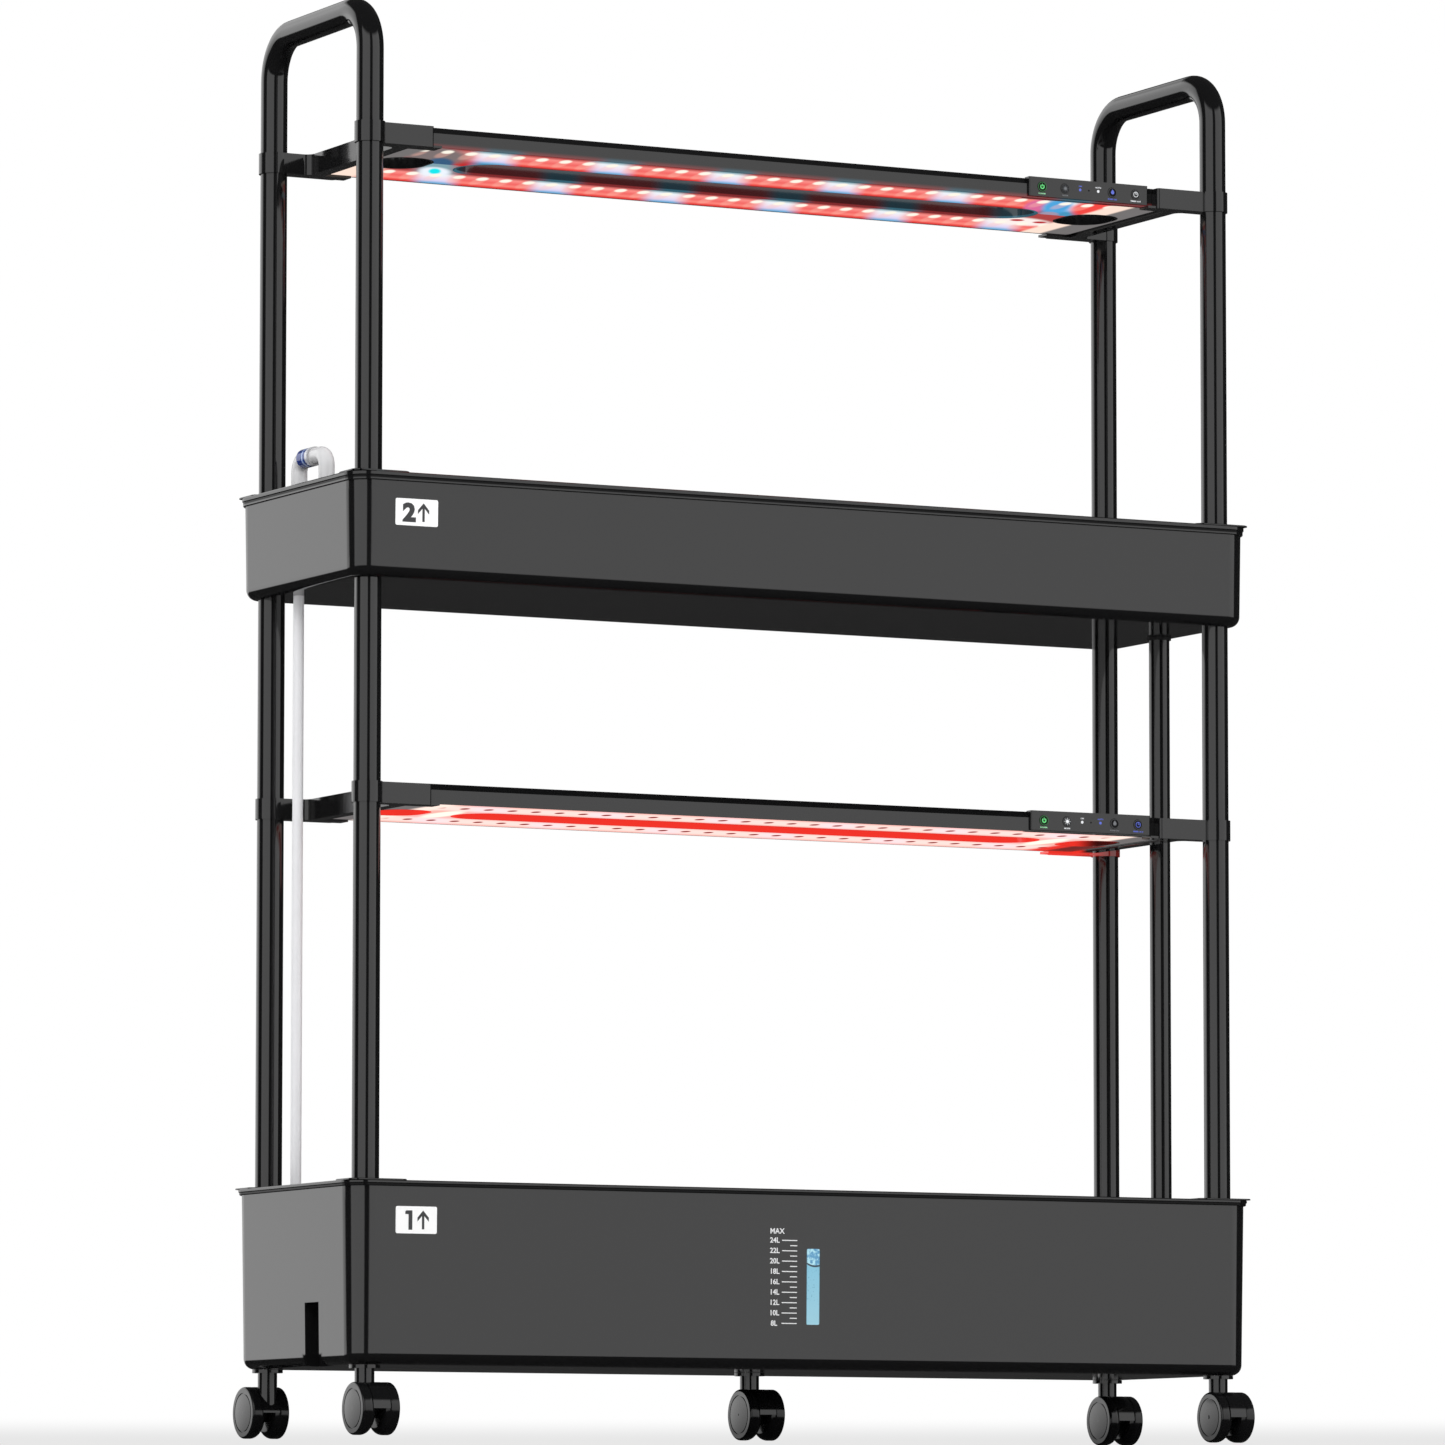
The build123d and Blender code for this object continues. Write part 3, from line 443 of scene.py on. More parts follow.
for index in range(litre_marks):
    figures = lettered(f"{first_litres + litres_step * index}L", 0.0068, 0.00016)
    shift = 0.0 if index else one_digit_shift
    foot = scale_low_z + index * mark_step - figure_foot
    scale_parts.append((figures, on_front(tank_wall_face, figure_x + shift, foot, print_proud)))
most = lettered("MAX", 0.0070, 0.00014)
scale_parts.append((most, on_front(tank_wall_face, figure_x, most_z, print_proud)))
fitted("litre_scale", joined_mesh("litre_scale", scale_parts), scale_white, "stand")


# Level window: a clear strip that fills a slot in the front wall. Its surface shows the
# water behind it: light blue up to a dark meniscus line, with wet blotches above.
def window_water(name, centre_x, half_width, low_z, level_z):
    material, tree, shader, place = new_material(name)
    x, _, z = parted(tree, place)
    aside = worked(tree, "SUBTRACT", x, centre_x)
    off_low = worked(tree, "SUBTRACT", aside, 0.0020)
    sag = worked(tree, "MULTIPLY", worked(tree, "MULTIPLY", off_low, off_low), 34.0)
    above = worked(tree, "SUBTRACT", worked(tree, "SUBTRACT", z, level_z), sag)
    depth = between(tree, z, 0.0, 1.0, low_z, level_z)
    water = mixed(tree, depth, (0.30, 0.58, 0.70), (0.21, 0.52, 0.68))
    spray = between(tree, cloud(tree, place, 330.0, 4.0), 0.0, 1.0, 0.44, 0.60)
    splash = mixed(tree, spray, (0.08, 0.30, 0.52), (0.42, 0.74, 0.84))
    wet = between(tree, above, 0.0, 1.0, 0.0, 0.0008)
    bubble = between(tree, cloud(tree, place, 620.0, 1.0), 0.0, 1.0, 0.68, 0.72)
    near_top = between(tree, above, 0.0, 1.0, -0.045, -0.012)
    water = mixed(tree, worked(tree, "MULTIPLY", bubble, near_top), water, (0.05, 0.22, 0.36))
    colour = mixed(tree, wet, water, splash)
    line = between(tree, worked(tree, "ABSOLUTE", above), 1.0, 0.0, 0.0006, 0.0011)
    colour = mixed(tree, line, colour, (0.004, 0.02, 0.045))
    off_centre = worked(tree, "ABSOLUTE", aside)
    rim = between(tree, off_centre, 0.0, 1.0, half_width - 0.0010, half_width - 0.0004)
    colour = mixed(tree, rim, colour, (0.01, 0.045, 0.06))
    tree.links.new(colour, shader.inputs["Base Color"])
    shader.inputs["Roughness"].default_value = 0.12
    return material


dress(window_water("window_water", -0.0009, 0.0073, 0.1056, 0.1600), "level_window")


# Planting deck of the reservoir: a lid that rests on the tank's lip, with twelve
# collared holes, and four raised plates that close the corners round the posts.
deck_plastic = moulded_plastic("deck_plastic", rack_black, rack_roughness)
dress(deck_plastic, "reservoir_deck", "lower_corner_plates")

# Net baskets and grow sponges: black moulded nets hang in the deck holes, and each
# holds a plug of dark open-cell foam with a seed hole down its middle.
net_black = (0.022, 0.022, 0.023)
basket_plastic = moulded_plastic("basket_plastic", net_black, 0.42)
dress(basket_plastic, "lower_net_baskets", "upper_net_baskets")


def foam(name):
    material, tree, shader, place = new_material(name)
    cells = tree.nodes.new("ShaderNodeTexVoronoi")
    cells.inputs["Scale"].default_value = 900.0
    tree.links.new(place, cells.inputs["Vector"])
    pore = between(tree, cells.outputs["Distance"], 0.0, 1.0, 0.10, 0.55)
    tone = mixed(tree, cloud(tree, place, 90.0), (0.055, 0.040, 0.026), (0.105, 0.078, 0.050))
    tree.links.new(mixed(tree, pore, (0.010, 0.008, 0.006), tone), shader.inputs["Base Color"])
    shader.inputs["Roughness"].default_value = 0.95
    bump = tree.nodes.new("ShaderNodeBump")
    bump.inputs["Strength"].default_value = 0.9
    bump.inputs["Distance"].default_value = 0.0006
    tree.links.new(pore, bump.inputs["Height"])
    tree.links.new(bump.outputs["Normal"], shader.inputs["Normal"])
    return material


sponge_foam = foam("sponge_foam")
hole_columns, hole_rows = 6, 2
pitch_x, pitch_y = 0.130, 0.104
reach_x = (hole_columns - 1) / 2 * pitch_x
reach_y = (hole_rows - 1) / 2 * pitch_y
seed_hole_radius = 0.0035
cut_edge = 0.0016
foam_sponges = repeat_tree("foam_sponges", sponge_foam)


def sponge_mesh(low, high, foot_radius, head_radius, hole_radius, round_edge, around=40):
    """Tapered plug with rounded edges, a hole down its axis and a slightly uneven cut skin."""
    outline = [(hole_radius, low), (foot_radius - round_edge, low), (foot_radius, low + round_edge)]
    steps = 8
    for step in range(1, steps):
        share = step / steps
        radius = foot_radius + (head_radius - foot_radius) * share
        outline.append((radius, low + (high - low) * share))
    outline.append((head_radius, high - round_edge))
    outline.append((head_radius - round_edge * 0.4, high - round_edge * 0.3))
    outline += [(head_radius - round_edge, high), ((head_radius + hole_radius) / 2, high)]
    outline += [(hole_radius + round_edge / 2, high), (hole_radius, high - round_edge / 2)]
    form = bmesh.new()
    rings = []
    for radius, z in outline:
        ring = []
        for index in range(around):
            turn = 2 * math.pi * index / around
            spot = Vector((radius * math.cos(turn), radius * math.sin(turn), z))
            rough = 0.00035 * abs(noise.noise(spot * 420.0)) if radius > hole_radius else 0.0
            spot.x -= rough * math.cos(turn)
            spot.y -= rough * math.sin(turn)
            ring.append(form.verts.new(spot))
        rings.append(ring)
    for first, second in zip(rings, rings[1:] + rings[:1]):
        for index in range(around):
            other = (index + 1) % around
            form.faces.new((first[index], first[other], second[other], second[index]))
    bmesh.ops.recalc_face_normals(form, faces=form.faces)
    for face in form.faces:
        face.smooth = True
    mesh = bpy.data.meshes.new("sponge")
    form.to_mesh(mesh)
    form.free()
    return mesh


for tier in ("lower", "upper"):
    solid = tier + "_grow_sponges"
    low_corner, high_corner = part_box(solid)
    corners = [vertex.co for vertex in nodes[solid].data.vertices]
    foot_reach = max(co.x for co in corners if co.z < low_corner.z + 0.0001)
    head_radius = high_corner.x - reach_x
    foot_radius = foot_reach - reach_x
    plug = sponge_mesh(
        low_corner.z, high_corner.z, foot_radius, head_radius, seed_hole_radius, cut_edge
    )
    rows = repeated(
        tier + "_foam", plug, foam_sponges, (-reach_x, -reach_y, 0),
        hole_columns, (pitch_x, 0, 0), hole_rows, (0, pitch_y, 0),
    )
    sponges = fitted(tier + "_foam_sponges", rows, None, "stand")
    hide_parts(solid)

# Casters: glossy black twin wheels with disc caps, a hood between them and a swivel
# pin that turns in a bore under the tank. The wheels' shine is turned down towards the floor as
# painted shade.
caster_black = (0.005, 0.005, 0.0053)
caster_plastic = moulded_plastic("caster_plastic", caster_black, 0.10, 700.0, 0.00001)
wheel_plastic = moulded_plastic("wheel_plastic", caster_black, 0.12, 700.0, 0.00001)
wheel_tree = wheel_plastic.node_tree
_, _, wheel_z = parted(wheel_tree, wheel_tree.nodes["Texture Coordinate"].outputs["Object"])
# Painted shade: the wheels' shine fades out towards the floor.
painted_wheel_shade = between(wheel_tree, wheel_z, 0.14, 0.46, 0.008, 0.036)
wheel_tree.links.new(painted_wheel_shade, wheel_tree.nodes["Principled BSDF"].inputs["Specular IOR Level"])
for name in nodes:
    if name.startswith("caster_"):
        dress(wheel_plastic if "_wheel_" in name else caster_plastic, name)


# Posts and handle loops: thin-walled steel tube with a black powder coat. The posts
# end at stops inside the upper tray, and the loops stand on the other side of them.
def powder_coat(name, colour, roughness):
    """Baked powder paint: near-even colour and a very fine orange-peel surface."""
    material, tree, shader, place = new_material(name)
    drift = cloud(tree, place, 22.0)
    darker = tuple(channel * 0.9 for channel in colour)
    tree.links.new(mixed(tree, drift, darker, colour), shader.inputs["Base Color"])
    tree.links.new(between(tree, drift, roughness, roughness + 0.02), shader.inputs["Roughness"])
    grained(tree, shader, place, 1400.0, 0.00001)
    return material


post_coat = powder_coat("post_coat", rack_black, 0.07)
dress(post_coat, "post_front_left", "post_front_right", "post_rear_left", "post_rear_right")
dress(post_coat, "handle_loop_left", "handle_loop_right")

# Upper tray and its deck: the same black plastic as the tank, shallower, carried on
# the heads of the posts. Its label carries the number of the second tier.
dress(tub_with_shaded_rim("tray_plastic", tray_crease_z), "upper_tray")
dress(deck_plastic, "upper_deck", "upper_corner_plates")
tray_wall_face = (-0.1285, 0.782, -0.1301, 0.8741)
figure_two = lettered("2", 0.0225, 0.0012)
figure_two.transform(Matrix.Diagonal((1.12, 1, 1, 1)))
number_label(
    "tray", figure_two, 0.0080, tray_wall_face, -0.43385, -0.39085, 0.8296, 0.8543, "stand"
)

# Pump and water lift: a small black pump in the tank pushes water up a milky tube at
# the left rear, over two white elbows with a ribbed blue ring between them, into the tray.
pump_plastic = moulded_plastic("pump_plastic", net_black, 0.40)
dress(pump_plastic, "pump")


def milky_plastic(name, colour, roughness, clear):
    """Pale translucent plastic with slight clouding."""
    material, tree, shader, place = new_material(name)
    drift = cloud(tree, place, 60.0)
    darker = tuple(channel * 0.95 for channel in colour)
    tree.links.new(mixed(tree, drift, darker, colour), shader.inputs["Base Color"])
    tree.links.new(between(tree, drift, roughness, roughness + 0.05), shader.inputs["Roughness"])
    shader.inputs["Transmission Weight"].default_value = clear
    shader.inputs["IOR"].default_value = 1.4
    return material


dress(milky_plastic("milky_tube", (0.88, 0.88, 0.90), 0.30, 0.10), "riser_tube")
dress(milky_plastic("white_fitting", (0.72, 0.72, 0.73), 0.22, 0.0), "riser_elbows")


def ribbed_ring(name, front_y, rear_y):
    """Blue and white bands round the ring, from its front edge to its rear edge."""
    material, tree, shader, place = new_material(name)
    _, y, _ = parted(tree, place)
    along = between(tree, y, 0.0, 1.0, front_y, rear_y)
    bands = (
        (0.0, (0.42, 0.42, 0.43)), (0.08, (0.66, 0.68, 0.74)), (0.30, (0.012, 0.045, 0.24)),
        (0.45, (0.30, 0.42, 0.72)), (0.60, (0.010, 0.035, 0.22)),
    )
    ramp = ramp_of(tree, bands, stepped=True)
    tree.links.new(along, ramp.inputs["Fac"])
    tree.links.new(ramp.outputs["Color"], shader.inputs["Base Color"])
    shader.inputs["Roughness"].default_value = 0.2
    return material


ring_low, ring_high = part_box("coupling_ring")
dress(ribbed_ring("ribbed_ring", ring_low.y, ring_high.y), "coupling_ring")

# Overflow: a black extruded pipe that brings the water back from the tray, sealed in
# the tray's floor by a rubber ring and capped by a slotted strainer.
pipe_plastic = moulded_plastic("pipe_plastic", rack_black, 0.09)
dress(pipe_plastic, "drain_pipe", "overflow_strainer")
seal_rubber = moulded_plastic("seal_rubber", (0.016, 0.016, 0.016), 0.7)
dress(seal_rubber, "drain_seal")


# Lamps: a flat black moulded frame with a long middle slot. A white circuit board lies
# inside it, and the sheet below it shows its two rows of LEDs as a red and blue glow.
chip_pitch = 0.0244
first_blue, blue_every = 3, 5
colour_skew, patch_skew, dot_skew = 0.45, 0.40, 0.15


def chip_count(tree, x, y, first_x, skew=0.0):
    """Place along the row, counted in LEDs from the first; a skew fans it out aslant."""
    slid = worked(tree, "SUBTRACT", x, worked(tree, "MULTIPLY", y, skew)) if skew else x
    return worked(tree, "DIVIDE", worked(tree, "SUBTRACT", slid, first_x), chip_pitch)


def fifth_share(tree, count, reach):
    """One at every fifth LED, which is blue, and zero at the red ones between."""
    fifths = worked(tree, "DIVIDE", worked(tree, "SUBTRACT", count, first_blue), blue_every)
    off_blue = worked(tree, "WRAP", fifths, 0.5, -0.5)
    from_blue = worked(tree, "MULTIPLY", worked(tree, "ABSOLUTE", off_blue), blue_every)
    return between(tree, from_blue, reach, 0.0, 0.35, 1.25, True)


def spot(tree, x, y, centre, reach, soft=(0.4, 1.6)):
    """One inside an ellipse and zero outside it, with a soft edge."""
    across = worked(tree, "DIVIDE", worked(tree, "SUBTRACT", x, centre[0]), reach[0])
    along = worked(tree, "DIVIDE", worked(tree, "SUBTRACT", y, centre[1]), reach[1])
    across_squared = worked(tree, "MULTIPLY", across, across)
    squares = worked(tree, "ADD", across_squared, worked(tree, "MULTIPLY", along, along))
    return between(tree, squares, 1.0, 0.0, *soft, True)


def profile(tree, off_row, stops):
    """Colours across a row, each given with its distance from the row."""
    low, high = stops[0][0], stops[-1][0]
    ramp = ramp_of(tree, [((distance - low) / (high - low), colour) for distance, colour in stops])
    tree.links.new(between(tree, off_row, 0.0, 1.0, low, high), ramp.inputs["Fac"])
    return ramp.outputs["Color"]


def lamp_glow(
    name, first_x, rows_y, dots, reds, blues, blue_reach, patches, flares, ends, strength
):
    """Lit sheet: dots at the LEDs, and round them a red glow with blue at every fifth LED."""
    material, tree, shader, place = new_material(name)
    x, y, _ = parted(tree, place)
    off_middle = worked(tree, "SUBTRACT", y, (rows_y[0] + rows_y[1]) / 2)
    from_middle = worked(tree, "ABSOLUTE", off_middle)
    off_row = worked(tree, "SUBTRACT", from_middle, (rows_y[1] - rows_y[0]) / 2)
    signed_row = worked(tree, "MULTIPLY", off_row, worked(tree, "SIGN", off_middle))
    fanned_count = chip_count(tree, x, signed_row, first_x, colour_skew)
    blueness = fifth_share(tree, fanned_count, blue_reach)
    lit = mixed(tree, blueness, profile(tree, signed_row, reds), profile(tree, signed_row, blues))
    fanned_x = worked(tree, "SUBTRACT", x, worked(tree, "MULTIPLY", signed_row, patch_skew))
    for centre, reach, colour in patches:
        lit = mixed(tree, spot(tree, fanned_x, y, centre, reach), lit, colour)
    count = chip_count(tree, x, signed_row, first_x, dot_skew)
    off_chip = worked(tree, "MULTIPLY", worked(tree, "WRAP", count, 0.5, -0.5), chip_pitch)
    for centre, reach, share, colour in dots:
        mark = worked(tree, "MULTIPLY", spot(tree, off_chip, signed_row, (0, centre), reach), share)
        lit = mixed(tree, mark, lit, colour)
    for centre, reach, colour in flares:
        lit = mixed(tree, spot(tree, x, y, centre, reach), lit, colour)
    for side, low_y, high_y, start, finish, colour in ends:
        beyond = between(tree, worked(tree, "MULTIPLY", x, side), 0.0, 1.0, start, finish, True)
        above = between(tree, y, 0.0, 1.0, low_y - 0.008, low_y)
        below = between(tree, y, 1.0, 0.0, high_y, high_y + 0.008)
        share = worked(tree, "MULTIPLY", beyond, worked(tree, "MULTIPLY", above, below))
        lit = mixed(tree, share, lit, colour)
    tree.links.new(lit, shader.inputs["Emission Color"])
    shader.inputs["Emission Strength"].default_value = strength
    shader.inputs["Base Color"].default_value = (0.02, 0.02, 0.02, 1)
    shader.inputs["Specular IOR Level"].default_value = 0.1
    tree.links.new(between(tree, cloud(tree, place, 40.0), 0.3, 0.4), shader.inputs["Roughness"])
    return material


upper_first_x = -0.3809
lower_first_x = -0.3788
pale_end = (1.0, 0.78, 0.66)
unlit_end = (0.17, 0.16, 0.16)
red_fade = (
    (-0.018, (0.42, 0.05, 0.05)), (-0.006, (0.97, 0.27, 0.24)), (0.012, (0.90, 0.13, 0.12)),
    (0.026, (0.98, 0.24, 0.20)), (0.036, (0.85, 0.06, 0.05)), (0.044, (0.55, 0.012, 0.012)),
)
blue_fade = (
    (-0.018, (0.20, 0.38, 0.44)), (-0.006, (0.85, 0.95, 1.0)), (0.012, (0.90, 0.80, 0.92)),
    (0.026, (0.68, 0.68, 0.96)), (0.036, (0.20, 0.48, 0.78)), (0.044, (0.03, 0.32, 0.55)),
)
chip_light = (-0.0025, (0.0056, 0.0095), 1.0, (1.0, 0.95, 0.82))
chip_tail = (0.012, (0.0060, 0.020), 0.32, (1.0, 0.52, 0.42))
# Light pooled in the upper lamp's corners, then the dark unlit chips that lie on it.
upper_pools = (
    ((-0.368, -0.055), (0.036, 0.046), (0.20, 0.16, 0.16)),
    ((-0.358, -0.018), (0.013, 0.026), (0.03, 0.10, 0.21)),
    ((0.274, -0.050), (0.011, 0.036), (0.72, 0.14, 0.33)),
    ((0.297, -0.060), (0.015, 0.040), (0.07, 0.38, 0.74)),
    ((0.334, -0.060), (0.020, 0.040), (0.92, 0.06, 0.05)),
    ((0.296, -0.014), (0.010, 0.014), (0.36, 0.30, 0.42)),
    ((0.322, 0.038), (0.034, 0.022), (1.0, 0.88, 0.84)),
    ((-0.3100, 0.0310), (0.0160, 0.0240), (0.86, 0.92, 1.0)),
    ((-0.3100, 0.0283), (0.0062, 0.0150), (0.0, 0.82, 0.86)),
)
upper_flares = (
    ((0.3107, 0.0320), (0.0070, 0.0060), (0.50, 0.012, 0.02)),
    ((0.3373, 0.0345), (0.0070, 0.0060), (0.50, 0.012, 0.02)),
)
upper_ends = (
    (-1, 0.020, 0.200, 0.360, 0.380, pale_end), (-1, -0.200, 0.000, 0.376, 0.384, unlit_end),
    (1, -0.200, 0.200, 0.346, 0.353, pale_end), (1, -0.200, 0.200, 0.369, 0.375, unlit_end),
)
dress(lamp_glow(
    "upper_glow", upper_first_x, (-0.075, 0.052), (chip_tail, chip_light), red_fade, blue_fade,
    0.95, upper_pools, upper_flares, upper_ends, 1.0,
), "upper_diffuser")
pink_rim, pink_middle = (0.75, 0.38, 0.33), (0.88, 0.61, 0.56)
lilac_rim, lilac_middle = (0.75, 0.42, 0.43), (0.88, 0.63, 0.69)
pink_fade = (
    (-0.032, pink_rim), (-0.014, pink_middle), (0.014, pink_middle), (0.032, pink_rim),
)
lilac_fade = (
    (-0.032, lilac_rim), (-0.014, lilac_middle), (0.014, lilac_middle), (0.032, lilac_rim),
)
dark_chip = (0.0, (0.0046, 0.0080), 1.0, (0.21, 0.012, 0.010))
warm_flare = ((0.012, 0.040), (1.0, 0.81, 0.69))
lower_flares = (((-0.323, 0.0), *warm_flare), ((0.323, 0.0), *warm_flare))
warm_end, faint_end = (0.88, 0.69, 0.61), (0.13, 0.12, 0.12)
lower_ends = (
    (-1, -0.200, 0.200, 0.344, 0.360, warm_end), (-1, -0.200, 0.200, 0.367, 0.377, faint_end),
    (1, -0.200, 0.022, 0.344, 0.360, warm_end), (1, -0.200, 0.022, 0.367, 0.377, faint_end),
    (1, 0.022, 0.200, 0.344, 0.360, (0.66, 0.023, 0.014)),
    (1, 0.022, 0.200, 0.367, 0.377, (0.12, 0.012, 0.010)),
)
dress(lamp_glow(
    "lower_glow", lower_first_x, (-0.063, 0.060), (dark_chip,), pink_fade, lilac_fade, 0.6,
    (), lower_flares, lower_ends, 1.3,
), "lower_diffuser")


slot_wall_y = (0.0316, 0.0326)
end_fade = 0.022
front_band = (0.004, 0.008)
front_foot_height = 0.0045


def lit_frame(name, first_x, corner, glow_height, reach, faint, front_glow, red, blue=None):
    """The lamp's plastic, with the LEDs' light caught on its slot's walls and its front foot."""
    material = moulded_plastic(name, rack_black, rack_roughness)
    tree = material.node_tree
    shader = tree.nodes["Principled BSDF"]
    x, y, z = parted(tree, tree.nodes["Texture Coordinate"].outputs["Object"])
    # Painted light: the plastic glows where the LEDs' light falls on the slot's walls and on the
    # front foot.
    shader.inputs["Emission Color"].default_value = (*red, 1)
    if blue:
        blueness = fifth_share(tree, chip_count(tree, x, y, first_x), 1.0)
        tree.links.new(mixed(tree, blueness, red, blue), shader.inputs["Emission Color"])
    inside = between(tree, worked(tree, "ABSOLUTE", y), 1.0, 0.0, *slot_wall_y)
    low = between(tree, z, 1.0, faint, corner.z + glow_height / 2, corner.z + glow_height, True)
    off_end = between(tree, worked(tree, "ABSOLUTE", x), 1.0, 0.0, reach, reach + end_fade, True)
    caught = worked(tree, "MULTIPLY", worked(tree, "MULTIPLY", inside, low), off_end)
    if front_glow:
        front = between(tree, y, front_glow, 0.0, *(corner.y + edge for edge in front_band))
        foot = between(tree, z, 1.0, 0.0, corner.z, corner.z + front_foot_height, True)
        caught = worked(tree, "MAXIMUM", caught, worked(tree, "MULTIPLY", front, foot))
    tree.links.new(caught, shader.inputs["Emission Strength"])
    return material


lower_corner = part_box("lower_lamp_housing")[0]
upper_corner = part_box("upper_lamp_housing")[0]
walls_with_painted_red_light = lit_frame(
    "lower_lamp_plastic", lower_first_x, lower_corner, 0.0140, 0.370, 0.0, 0.0,
    (0.86, 0.030, 0.018),
)
dress(walls_with_painted_red_light, "lower_lamp_housing")
walls_with_painted_striped_light = lit_frame(
    "upper_lamp_plastic", upper_first_x, upper_corner, 0.0022, 0.300, 0.22, 0.7,
    (0.22, 0.020, 0.022), (0.03, 0.12, 0.17),
)
dress(walls_with_painted_striped_light, "upper_lamp_housing")


def circuit_board(name):
    """White solder mask, faintly clouded."""
    material, tree, shader, place = new_material(name)
    mask = mixed(tree, cloud(tree, place, 30.0), (0.70, 0.70, 0.68), (0.76, 0.76, 0.74))
    tree.links.new(mask, shader.inputs["Base Color"])
    shader.inputs["Roughness"].default_value = 0.4
    return material


dress(circuit_board("circuit_board"), "lower_led_board", "upper_led_board")

# Lamp brackets: one moulded black frame at each end, slid over both posts, with a shelf
# under the lamp's corners.
bracket_plastic = moulded_plastic("bracket_plastic", rack_black, rack_roughness)
dress(bracket_plastic, "lower_bracket_left", "upper_bracket_left", "upper_bracket_right")


def with_painted_red_light(material, lamp_foot):
    """The same finish, with the lower lamp's light caught on what lies by its rear corner."""
    tree = material.node_tree
    shader = tree.nodes["Principled BSDF"]
    x, y, z = parted(tree, tree.nodes["Texture Coordinate"].outputs["Object"])
    near = between(tree, x, 1.0, 0.12, 0.400, 0.455, True)
    rear = between(tree, y, 0.0, 1.0, 0.060, 0.080, True)
    low = between(tree, z, 1.0, 0.0, lamp_foot + 0.001, lamp_foot + 0.006, True)
    # Painted light: the plastic glows red where the lower lamp's light falls by its rear corner.
    shader.inputs["Emission Color"].default_value = (0.84, 0.030, 0.018, 1)
    caught = worked(tree, "MULTIPLY", worked(tree, "MULTIPLY", near, rear), low)
    tree.links.new(caught, shader.inputs["Emission Strength"])
    return material


lit_bracket = moulded_plastic("lit_bracket", rack_black, rack_roughness)
dress(with_painted_red_light(lit_bracket, lower_corner.z), "lower_bracket_right")

# Control panels: a dark plate at the right end of each lamp, with four round push
# buttons, two pilot lights and a small sensor hole. The symbols are lit from behind.
panel_plastic = moulded_plastic("panel_plastic", rack_black, 0.12)
dress(panel_plastic, "lower_control_panel", "upper_control_panel")
button_plastic = moulded_plastic("button_plastic", (0.003, 0.003, 0.0034), 0.10, 600.0, 0.00001)
button_plastic.node_tree.nodes["Principled BSDF"].inputs["Specular IOR Level"].default_value = 0.08
for name in nodes:
    if "_button_" in name:
        dress(button_plastic, name)


def lit_ink(name, colour, strength):
    """Translucent ink lit from behind, with its brightness a little uneven."""
    material, tree, shader, place = new_material(name)
    shimmer = cloud(tree, place, 1800.0)
    dim = tuple(channel * 0.8 for channel in colour)
    tree.links.new(mixed(tree, shimmer, dim, colour), shader.inputs["Emission Color"])
    shader.inputs["Emission Strength"].default_value = strength
    shader.inputs["Base Color"].default_value = (*(channel * 0.4 for channel in colour), 1)
    shader.inputs["Roughness"].default_value = 0.4
    return material


ink_depth = 0.00012


def arc(radius, start, end, steps=28):
    """Points of an arc between two angles in degrees."""
    turns = [math.radians(start + (end - start) * step / steps) for step in range(steps + 1)]
    return [(radius * math.cos(turn), radius * math.sin(turn)) for turn in turns]


def disc(radius, depth=ink_depth):
    """Round plate."""
    return prism(arc(radius, 0, 360)[:-1], depth)


def flat_ring(outer, inner, around=36):
    """Closed ring with a rectangular section."""
    form = bmesh.new()
    loops = []
    for radius, z in ((outer, 0), (outer, ink_depth), (inner, ink_depth), (inner, 0)):
        loops.append([form.verts.new((x, y, z)) for x, y in arc(radius, 0, 360, around)[:-1]])
    for first, second in zip(loops, loops[1:] + loops[:1]):
        for index in range(around):
            other = (index + 1) % around
            form.faces.new((first[index], first[other], second[other], second[index]))
    bmesh.ops.recalc_face_normals(form, faces=form.faces)
    mesh = bpy.data.meshes.new("ring")
    form.to_mesh(mesh)
    form.free()
    return mesh


def power_mark():
    """Ring open at the top, with a bar through the gap."""
    open_ring = arc(0.0024, 125, 415) + arc(0.0013, 415, 125)
    return [prism(open_ring, ink_depth), prism(bar(-0.0004, 0.0004, 0.0004, 0.0027), ink_depth)]


def sun_mark():
    """Disc with eight rays."""
    marks = [disc(0.0017)]
    for index in range(8):
        ray = prism(bar(-0.0003, 0.0003, 0.0022, 0.0034), ink_depth)
        ray.transform(Matrix.Rotation(math.tau * index / 8, 4, "Z"))
        marks.append(ray)
    return marks


def drop_mark():
    """Drop with a round foot and a pointed head."""
    return [prism([(0, 0.0030)] + arc(0.0018, 150, 390, 24), ink_depth)]


def clock_mark():
    """Ring with two hands."""
    hands = (bar(-0.0003, 0.0003, 0, 0.0019), bar(0.0003, 0.0014, 0, 0.0006))
    return [flat_ring(0.0027, 0.0021)] + [prism(hand, ink_depth) for hand in hands]


symbols = {"power": power_mark(), "mode": sun_mark(), "pump": drop_mark(), "timer": clock_mark()}
inks = {
    "green": lit_ink("ink_green", (0.12, 0.72, 0.20), 0.7),
    "pale_green": lit_ink("ink_pale_green", (0.34, 0.76, 0.42), 0.7),
    "grey": lit_ink("ink_grey", (0.22, 0.23, 0.25), 0.3),
    "white": lit_ink("ink_white", (0.80, 0.82, 0.85), 0.7),
    "blue": lit_ink("ink_blue", (0.09, 0.13, 0.58), 0.8),
}
rim_inks = {
    "green": lit_ink("rim_green", (0.02, 0.20, 0.04), 0.4),
    "other": lit_ink("rim_grey", (0.06, 0.06, 0.065), 0.3),
}
words = {"power": "POWER", "mode": "MODE", "pump": "PUMP ON", "timer": "TIMER 16 H"}
pilot_words = ("ON", "AUTO")


word_size = 0.0018
word_width = 1.25


